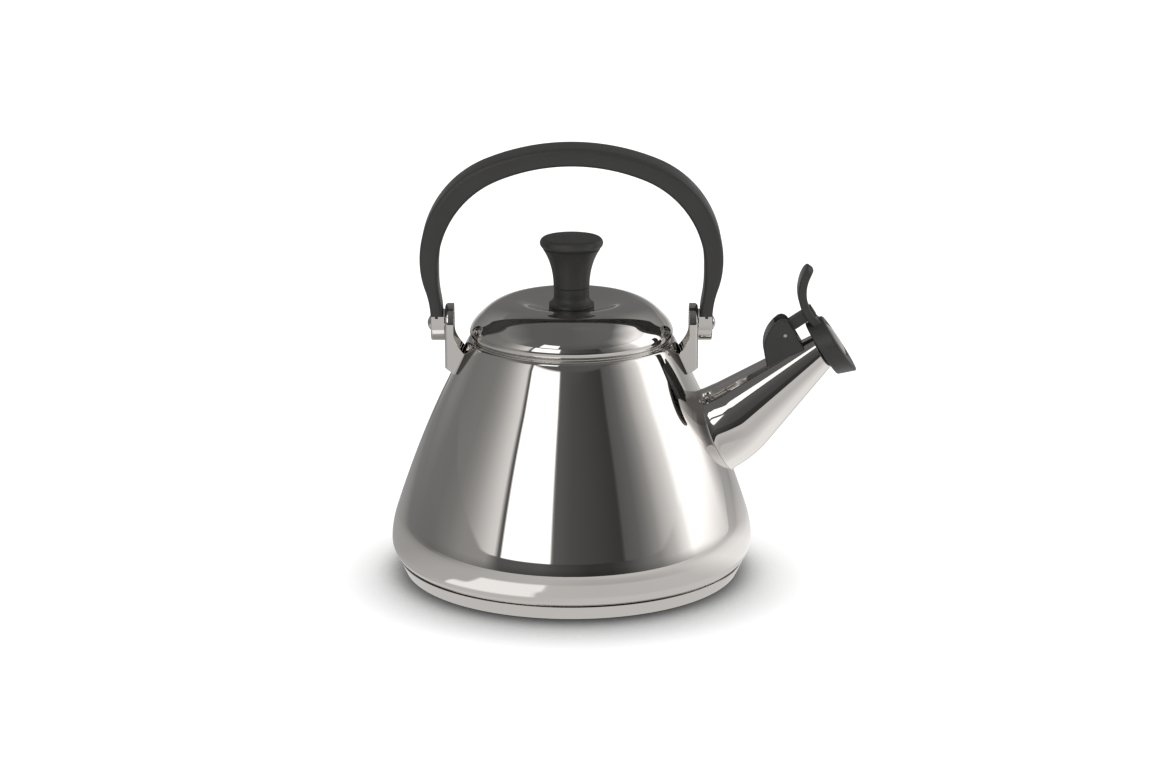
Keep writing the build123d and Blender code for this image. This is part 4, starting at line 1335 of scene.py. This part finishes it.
def studio_walls():
    """Walls of the studio as polished metal sees them: soft boxes on dark walls."""
    radius, rings, around = WALL_RADIUS, 24, 96
    points = []
    for ring in range(rings + 1):
        height = NEARLY_UPRIGHT * ring / rings
        for index in range(around):
            turn = TURN * index / around
            flat = radius * math.cos(height)
            points.append((flat * math.cos(turn), flat * math.sin(turn), radius * math.sin(height)))
    faces = strip_faces(rings + 1, around, closed_columns=True)
    walls = in_scene("studio_walls", mesh_of("studio_walls", points, faces))
    walls.data.materials.append(wall_material())
    walls.visible_camera = False
    walls.visible_diffuse = False
    walls.visible_shadow = False
    walls.visible_transmission = False
    walls.visible_volume_scatter = False


def ramp(tree, stops):
    """A colour ramp with grey stops."""
    made = node(tree, "ShaderNodeValToRGB")
    elements = made.color_ramp.elements
    elements.remove(elements[-1])
    for index, (place, tone) in enumerate(stops):
        item = elements[0] if index == 0 else elements.new(place)
        item.position = place
        item.color = (tone, tone, tone, 1)
    return made


# Brightness of the studio as metal shows it.  Each band starts to take over from the one before
# at its first place and has done so at its second; its stops are compass directions in degrees,
# 0 in front of the kettle and + to the right.  Places on the walls are heights above the floor,
# as a share of the height of the zenith, and on the floor they are radii in metres.
WALL_BANDS = [
    (0.0, 0.0, [
        (-180, 0.5), (-165, 0.4), (-150, 0.22), (-128, 0.21), (-97, 0.165), (-80, 0.22), (-67, 0.25),
        (-55, 0.2), (-45, 0.08), (-19, 0.07), (0, 0.045), (11, 0.03), (25, 0.035), (34, 0.05),
        (45, 0.12), (58, 0.2), (70, 0.4), (86, 0.66), (100, 0.76),
        (110, 0.74), (120, 0.8), (127, 0.62), (134, 0.4),
        (150, 0.5), (180, 0.5),
    ]),
    (0.0, 0.14, [
        (-180, 0.17), (-160, 0.17), (-137, 0.29), (-118, 0.21), (-102, 0.2), (-88, 0.23), (-75, 0.31),
        (-67, 0.33), (-56, 0.35), (-47, 0.11), (-19, 0.12), (-8, 0.08), (11, 0.045), (25, 0.045),
        (34, 0.07), (45, 0.15), (58, 0.28), (70, 0.6), (80, 1.1),
        (84, 1.5), (116, 1.5), (122, 1.0), (132, 0.37),
        (143, 0.4), (158, 0.3), (180, 0.17),
    ]),
    (0.225, 0.235, [
        (-180, 0.17), (-160, 0.17), (-137, 0.29), (-118, 0.21), (-88, 0.24), (-81, 0.28), (-74, 0.35),
        (-68, 0.45), (-61, 0.62), (-54, 0.8), (-50.5, 0.84), (-48, 0.14), (-46.3, 0.1), (-45.3, 1.6),
        (-13.2, 1.6), (-12.6, 0.13), (0, 0.09), (25, 0.06), (33.5, 0.05), (34.3, 0.11), (45, 0.15),
        (51, 0.22), (58, 0.34), (64, 0.54), (71, 0.73), (78, 0.96), (83, 1.5), (118, 1.5),
        (132, 0.37), (160, 0.18), (180, 0.17),
    ]),
    (0.605, 0.625, [
        (-180, 0.17), (-150, 0.18), (-120, 0.23), (-88, 0.26), (-75, 0.25), (-62, 0.15), (-40, 0.135),
        (0, 0.11), (45, 0.11), (56, 0.15), (70, 0.45), (84, 1.0), (100, 1.2), (112, 1.15), (125, 0.85),
        (140, 0.3), (160, 0.19), (180, 0.17),
    ]),
    (0.7, 0.88, [(-180, 0.14), (0, 0.135), (90, 0.16), (180, 0.14)]),
]
# Soft box high in front: its sides as compass directions, its foot and top as places on the walls.
UPPER_BOX = (-43.0, -17.5, 0.667, 0.825)
# On the floor these bands are painted light and shade, which the floor gives off as a glow for polished
# metal to show.
PAINTED_FLOOR_LIGHT = [
    (0.0, 0.0, [(-180, 0.62), (-130, 0.62), (-95, 0.66), (0, 0.66), (90, 0.68), (180, 0.66)]),
    (0.0935, 0.095, [
        (-180, 0.5), (-150, 0.4), (-128, 0.42), (-97, 0.43), (-66, 0.48), (-45, 0.6), (-19, 0.62),
        (12, 0.67), (70, 0.69), (103, 0.79), (128, 0.7), (150, 0.6), (180, 0.5),
    ]),
    (0.1, 0.104, [
        (-180, 0.45), (-150, 0.39), (-125, 0.39), (-97, 0.4), (-67, 0.5), (-52, 0.52), (-50.5, 1.1),
        (-14.5, 1.1), (-13, 0.62), (11, 0.6), (34, 0.62), (58, 0.65), (72, 0.8), (86, 1.03), (109, 1.03),
        (125, 0.82), (138, 0.66), (150, 0.58), (180, 0.5),
    ]),
    (0.116, 0.135, [
        (-180, 0.45), (-150, 0.39), (-125, 0.39), (-97, 0.4), (-67, 0.5), (-45.5, 0.52), (-44, 1.1),
        (-12.5, 1.1), (-11, 0.62), (11, 0.6), (34, 0.62), (58, 0.65), (72, 0.8), (86, 1.03), (109, 1.03),
        (125, 0.82), (138, 0.66), (150, 0.58), (180, 0.5),
    ]),
    (0.185, 0.21, [
        (-180, 0.3), (-165, 0.3), (-150, 0.33), (-125, 0.38), (-97, 0.4), (-66, 0.5), (-42, 0.54),
        (-18, 0.58), (11, 0.49), (34, 0.5), (58, 0.6), (86, 1.0), (109, 1.0), (125, 0.76), (143, 0.55),
        (165, 0.5), (180, 0.4),
    ]),
    (0.21, 0.6, [
        (-180, 0.12), (-165, 0.14), (-150, 0.28), (-138, 0.26), (-128, 0.22), (-97, 0.3), (-66, 0.45),
        (-42, 0.55), (-18, 0.6), (11, 0.6), (34, 0.65), (58, 0.68), (86, 0.75), (109, 0.72), (125, 0.5),
        (138, 0.36), (150, 0.52), (158, 0.6), (180, 0.4),
    ]),
    (0.65, 0.8, [
        (-180, 0.85), (-165, 0.6), (-150, 0.24), (-128, 0.21), (-97, 0.2), (-66, 0.45), (-42, 0.55),
        (11, 0.62), (58, 0.68), (86, 0.74), (109, 0.7), (125, 0.5), (138, 0.4), (150, 0.5), (165, 0.7),
        (180, 0.85),
    ]),
]


def studio_tone(tree, flat, place, bands):
    """Brightness from the compass direction of a vector and a place that picks the band.

    The direction is given back too, as a share of a turn that starts behind the kettle.
    """
    link = tree.links.new
    split = node(tree, "ShaderNodeSeparateXYZ")
    flip = node(tree, "ShaderNodeMath", {1: -1.0}, operation="MULTIPLY")
    compass = node(tree, "ShaderNodeMath", operation="ARCTAN2")
    scale = node(tree, "ShaderNodeMath", {1: 1 / TURN, 2: 0.5}, operation="MULTIPLY_ADD")
    link(flat, split.inputs["Vector"])
    join(
        tree, (split, "Y", flip, 0), (split, "X", compass, 0), (flip, 0, compass, 1),
        (compass, 0, scale, 0),
    )
    tone = None
    for begin, end, stops in bands:
        tones = ramp(tree, [((turn + 180) / 360, value * 0.5) for turn, value in stops])
        link(scale.outputs[0], tones.inputs["Fac"])
        if tone is None:
            tone = tones.outputs["Color"]
            continue
        part = node(tree, "ShaderNodeMapRange", {"From Min": begin, "From Max": end})
        blend = node(tree, "ShaderNodeMix", data_type="RGBA")
        link(place, part.inputs["Value"])
        link(part.outputs["Result"], blend.inputs["Factor"])
        link(tone, blend.inputs["A"])
        link(tones.outputs["Color"], blend.inputs["B"])
        tone = blend.outputs["Result"]
    return tone, scale.outputs[0]


def studio_glow(tree, tone):
    """Slightly warm light of this tone."""
    glow = node(tree, "ShaderNodeEmission", {"Strength": 2.0})
    warm = node(tree, "ShaderNodeMix", {"Factor": 1.0}, data_type="RGBA", blend_type="MULTIPLY")
    warm.inputs["B"].default_value = (1.0, 0.985, 0.97, 1)
    tree.links.new(tone, warm.inputs["A"])
    tree.links.new(warm.outputs["Result"], glow.inputs["Color"])
    return glow.outputs["Emission"]


def wall_material():
    """Emission that follows direction, for polished metal to show."""
    material, tree = bare_material("studio wall light")
    where = node(tree, "ShaderNodeTexCoord")
    split = node(tree, "ShaderNodeSeparateXYZ")
    high = node(tree, "ShaderNodeMath", {1: 1 / WALL_RADIUS}, operation="MULTIPLY")
    out = node(tree, "ShaderNodeOutputMaterial")
    link = tree.links.new
    join(tree, (where, "Object", split, "Vector"), (split, "Z", high, 0))
    tone, compass = studio_tone(tree, where.outputs["Object"], high.outputs[0], WALL_BANDS)
    west, east = (0.5 + side / 360 for side in UPPER_BOX[:2])
    low, top = UPPER_BOX[2:]
    middle, half = (west + east) / 2, (east - west) / 2
    across = node(tree, "ShaderNodeMath", {1: middle, 2: half}, operation="COMPARE")
    middle, half = (low + top) / 2, (top - low) / 2
    upward = node(tree, "ShaderNodeMath", {1: middle, 2: half}, operation="COMPARE")
    inside = node(tree, "ShaderNodeMath", operation="MULTIPLY")
    box = node(tree, "ShaderNodeMix", data_type="RGBA")
    box.inputs["B"].default_value = (0.75, 0.75, 0.75, 1)
    link(compass, across.inputs[0])
    join(
        tree, (high, 0, upward, 0), (across, 0, inside, 0), (upward, 0, inside, 1),
        (inside, 0, box, "Factor"),
    )
    link(tone, box.inputs["A"])
    link(studio_glow(tree, box.outputs["Result"]), out.inputs["Surface"])
    return material


def floor_material(colour_of_floor):
    """White floor with the kettle's shadow, partly real and partly painted into its colour; polished
    metal shows it as a table in the studio, glowing with painted light and shade.
    """
    material = bpy.data.materials.new("pale floor")
    material.use_nodes = True
    tree = material.node_tree
    link = tree.links.new
    shader = tree.nodes["Principled BSDF"]
    out = tree.nodes["Material Output"]
    shader.inputs["Roughness"].default_value = 0.9
    shader.inputs["Specular IOR Level"].default_value = 0.0
    shader.inputs["Emission Color"].default_value = (1, 1, 1, 1)
    # Ambient occlusion, tilted towards the back, darkens the floor's colour round the kettle: a painted
    # shadow that falls forward, on top of the real shadow of the lit floor.
    lit = Vector((0.0, 0.45, 0.9)).normalized()
    behind = node(tree, "ShaderNodeCombineXYZ", {"X": lit.x, "Y": lit.y, "Z": lit.z})
    painted_shadow_occlusion = node(tree, "ShaderNodeAmbientOcclusion", {"Distance": SHADOW_REACH}, samples=12)
    shade = ramp(tree, [(0.0, 0.03), (0.25, 0.12), (0.5, 0.4), (0.75, 0.8), (0.92, 1.0)])
    painted_shadow_colour = node(tree, "ShaderNodeMix", {"Factor": 1.0}, data_type="RGBA", blend_type="MULTIPLY")
    painted_shadow_colour.inputs["B"].default_value = (*colour_of_floor, 1)
    path = node(tree, "ShaderNodeLightPath")
    # For camera rays the floor also glows in step with the painted shade, so open floor shows pure white
    # and the painted shadow stays dark.
    lift = node(tree, "ShaderNodeMath", {1: 0.3}, operation="MULTIPLY")
    painted_shadow_glow = node(tree, "ShaderNodeMath", operation="MULTIPLY")
    where = node(tree, "ShaderNodeTexCoord")
    reach = node(tree, "ShaderNodeVectorMath", operation="LENGTH")
    swap = node(tree, "ShaderNodeMixShader")
    join(
        tree, (behind, 0, painted_shadow_occlusion, "Normal"), (painted_shadow_occlusion, "AO", shade, "Fac"),
        (shade, "Color", painted_shadow_colour, "A"), (painted_shadow_colour, "Result", shader, "Base Color"),
        (shade, "Color", lift, 0), (lift, 0, painted_shadow_glow, 0), (path, "Is Camera Ray", painted_shadow_glow, 1),
        (painted_shadow_glow, 0, shader, "Emission Strength"), (where, "Object", reach, 0),
    )
    # For glossy rays the floor is swapped for a glow of painted light and shade, laid out by direction
    # and distance from the kettle.
    tone = studio_tone(tree, where.outputs["Object"], reach.outputs["Value"], PAINTED_FLOOR_LIGHT)[0]
    join(tree, (path, "Is Glossy Ray", swap, "Fac"), (shader, "BSDF", swap, 1))
    link(studio_glow(tree, tone), swap.inputs[2])
    join(tree, (swap, 0, out, "Surface"))
    return material


class KETTLE_OT_stage(bpy.types.Operator):
    """Pale floor, white surroundings, studio walls and the camera"""

    bl_idname = "kettle.stage"
    bl_label = "Stage"

    def execute(self, context):
        scene = context.scene
        ways = ((-1, -1), (1, -1), (1, 1), (-1, 1))
        corners = [(x * FLOOR_REACH, y * FLOOR_REACH, 0) for x, y in ways]
        floor = in_scene("floor", mesh_of("floor", corners, [(0, 1, 2, 3)]))
        floor.location.z = -FLOOR_DROP
        floor.data.materials.append(floor_material(scene.kettle_finish.floor))
        studio_walls()
        world = bpy.data.worlds.new("white studio")
        world.use_nodes = True
        scene.world = world
        sky = world.node_tree.nodes["Background"]
        sky.inputs["Color"].default_value = (1, 1, 1, 1)
        sky.inputs["Strength"].default_value = 1.0
        camera_on(CAMERA_TARGET, CAMERA_ELEVATION, CAMERA_DISTANCE, CAMERA_LENS)
        scene.view_settings.view_transform = "Standard"
        return {"FINISHED"}


# ---- panel and running order -------------------------------------------------------------------


class KETTLE_PT_panel(bpy.types.Panel):
    """Lists the kettle's sizes, finishes and steps"""

    bl_idname = "KETTLE_PT_panel"
    bl_label = "Kettle"
    bl_space_type = "VIEW_3D"
    bl_region_type = "UI"
    bl_category = "Kettle"

    def draw(self, context):
        scene = context.scene
        for title, group in (
            ("Body", scene.kettle_body),
            ("Lid", scene.kettle_lid),
            ("Handle", scene.kettle_handle),
            ("Whistle", scene.kettle_whistle),
            ("Finish", scene.kettle_finish),
        ):
            box = self.layout.box()
            box.label(text=title)
            for name in group.__annotations__:
                box.prop(group, name)
        for step in STEPS:
            self.layout.operator(step.bl_idname)


GROUPS = {
    "kettle_body": KettleBodySizes,
    "kettle_lid": KettleLidSizes,
    "kettle_handle": KettleHandleSizes,
    "kettle_whistle": KettleWhistleSizes,
    "kettle_finish": KettleFinish,
}
STEPS = (
    KETTLE_OT_stage,
    KETTLE_OT_body,
    KETTLE_OT_base,
    KETTLE_OT_spout,
    KETTLE_OT_brackets,
    KETTLE_OT_ferrules,
    KETTLE_OT_rivets,
    KETTLE_OT_handle,
    KETTLE_OT_lid,
    KETTLE_OT_knob,
    KETTLE_OT_whistle,
    KETTLE_OT_housing,
)


def register():
    for name, group in GROUPS.items():
        bpy.utils.register_class(group)
        setattr(bpy.types.Scene, name, bpy.props.PointerProperty(type=group))
    for item in STEPS + (KETTLE_PT_panel,):
        bpy.utils.register_class(item)


def unregister():
    for item in (KETTLE_PT_panel,) + STEPS[::-1]:
        bpy.utils.unregister_class(item)
    for name, group in GROUPS.items():
        delattr(bpy.types.Scene, name)
        bpy.utils.unregister_class(group)


def main():
    register()
    for step in STEPS:
        group, name = step.bl_idname.split(".")
        getattr(getattr(bpy.ops, group), name)()


if __name__ == "__main__":
    main()
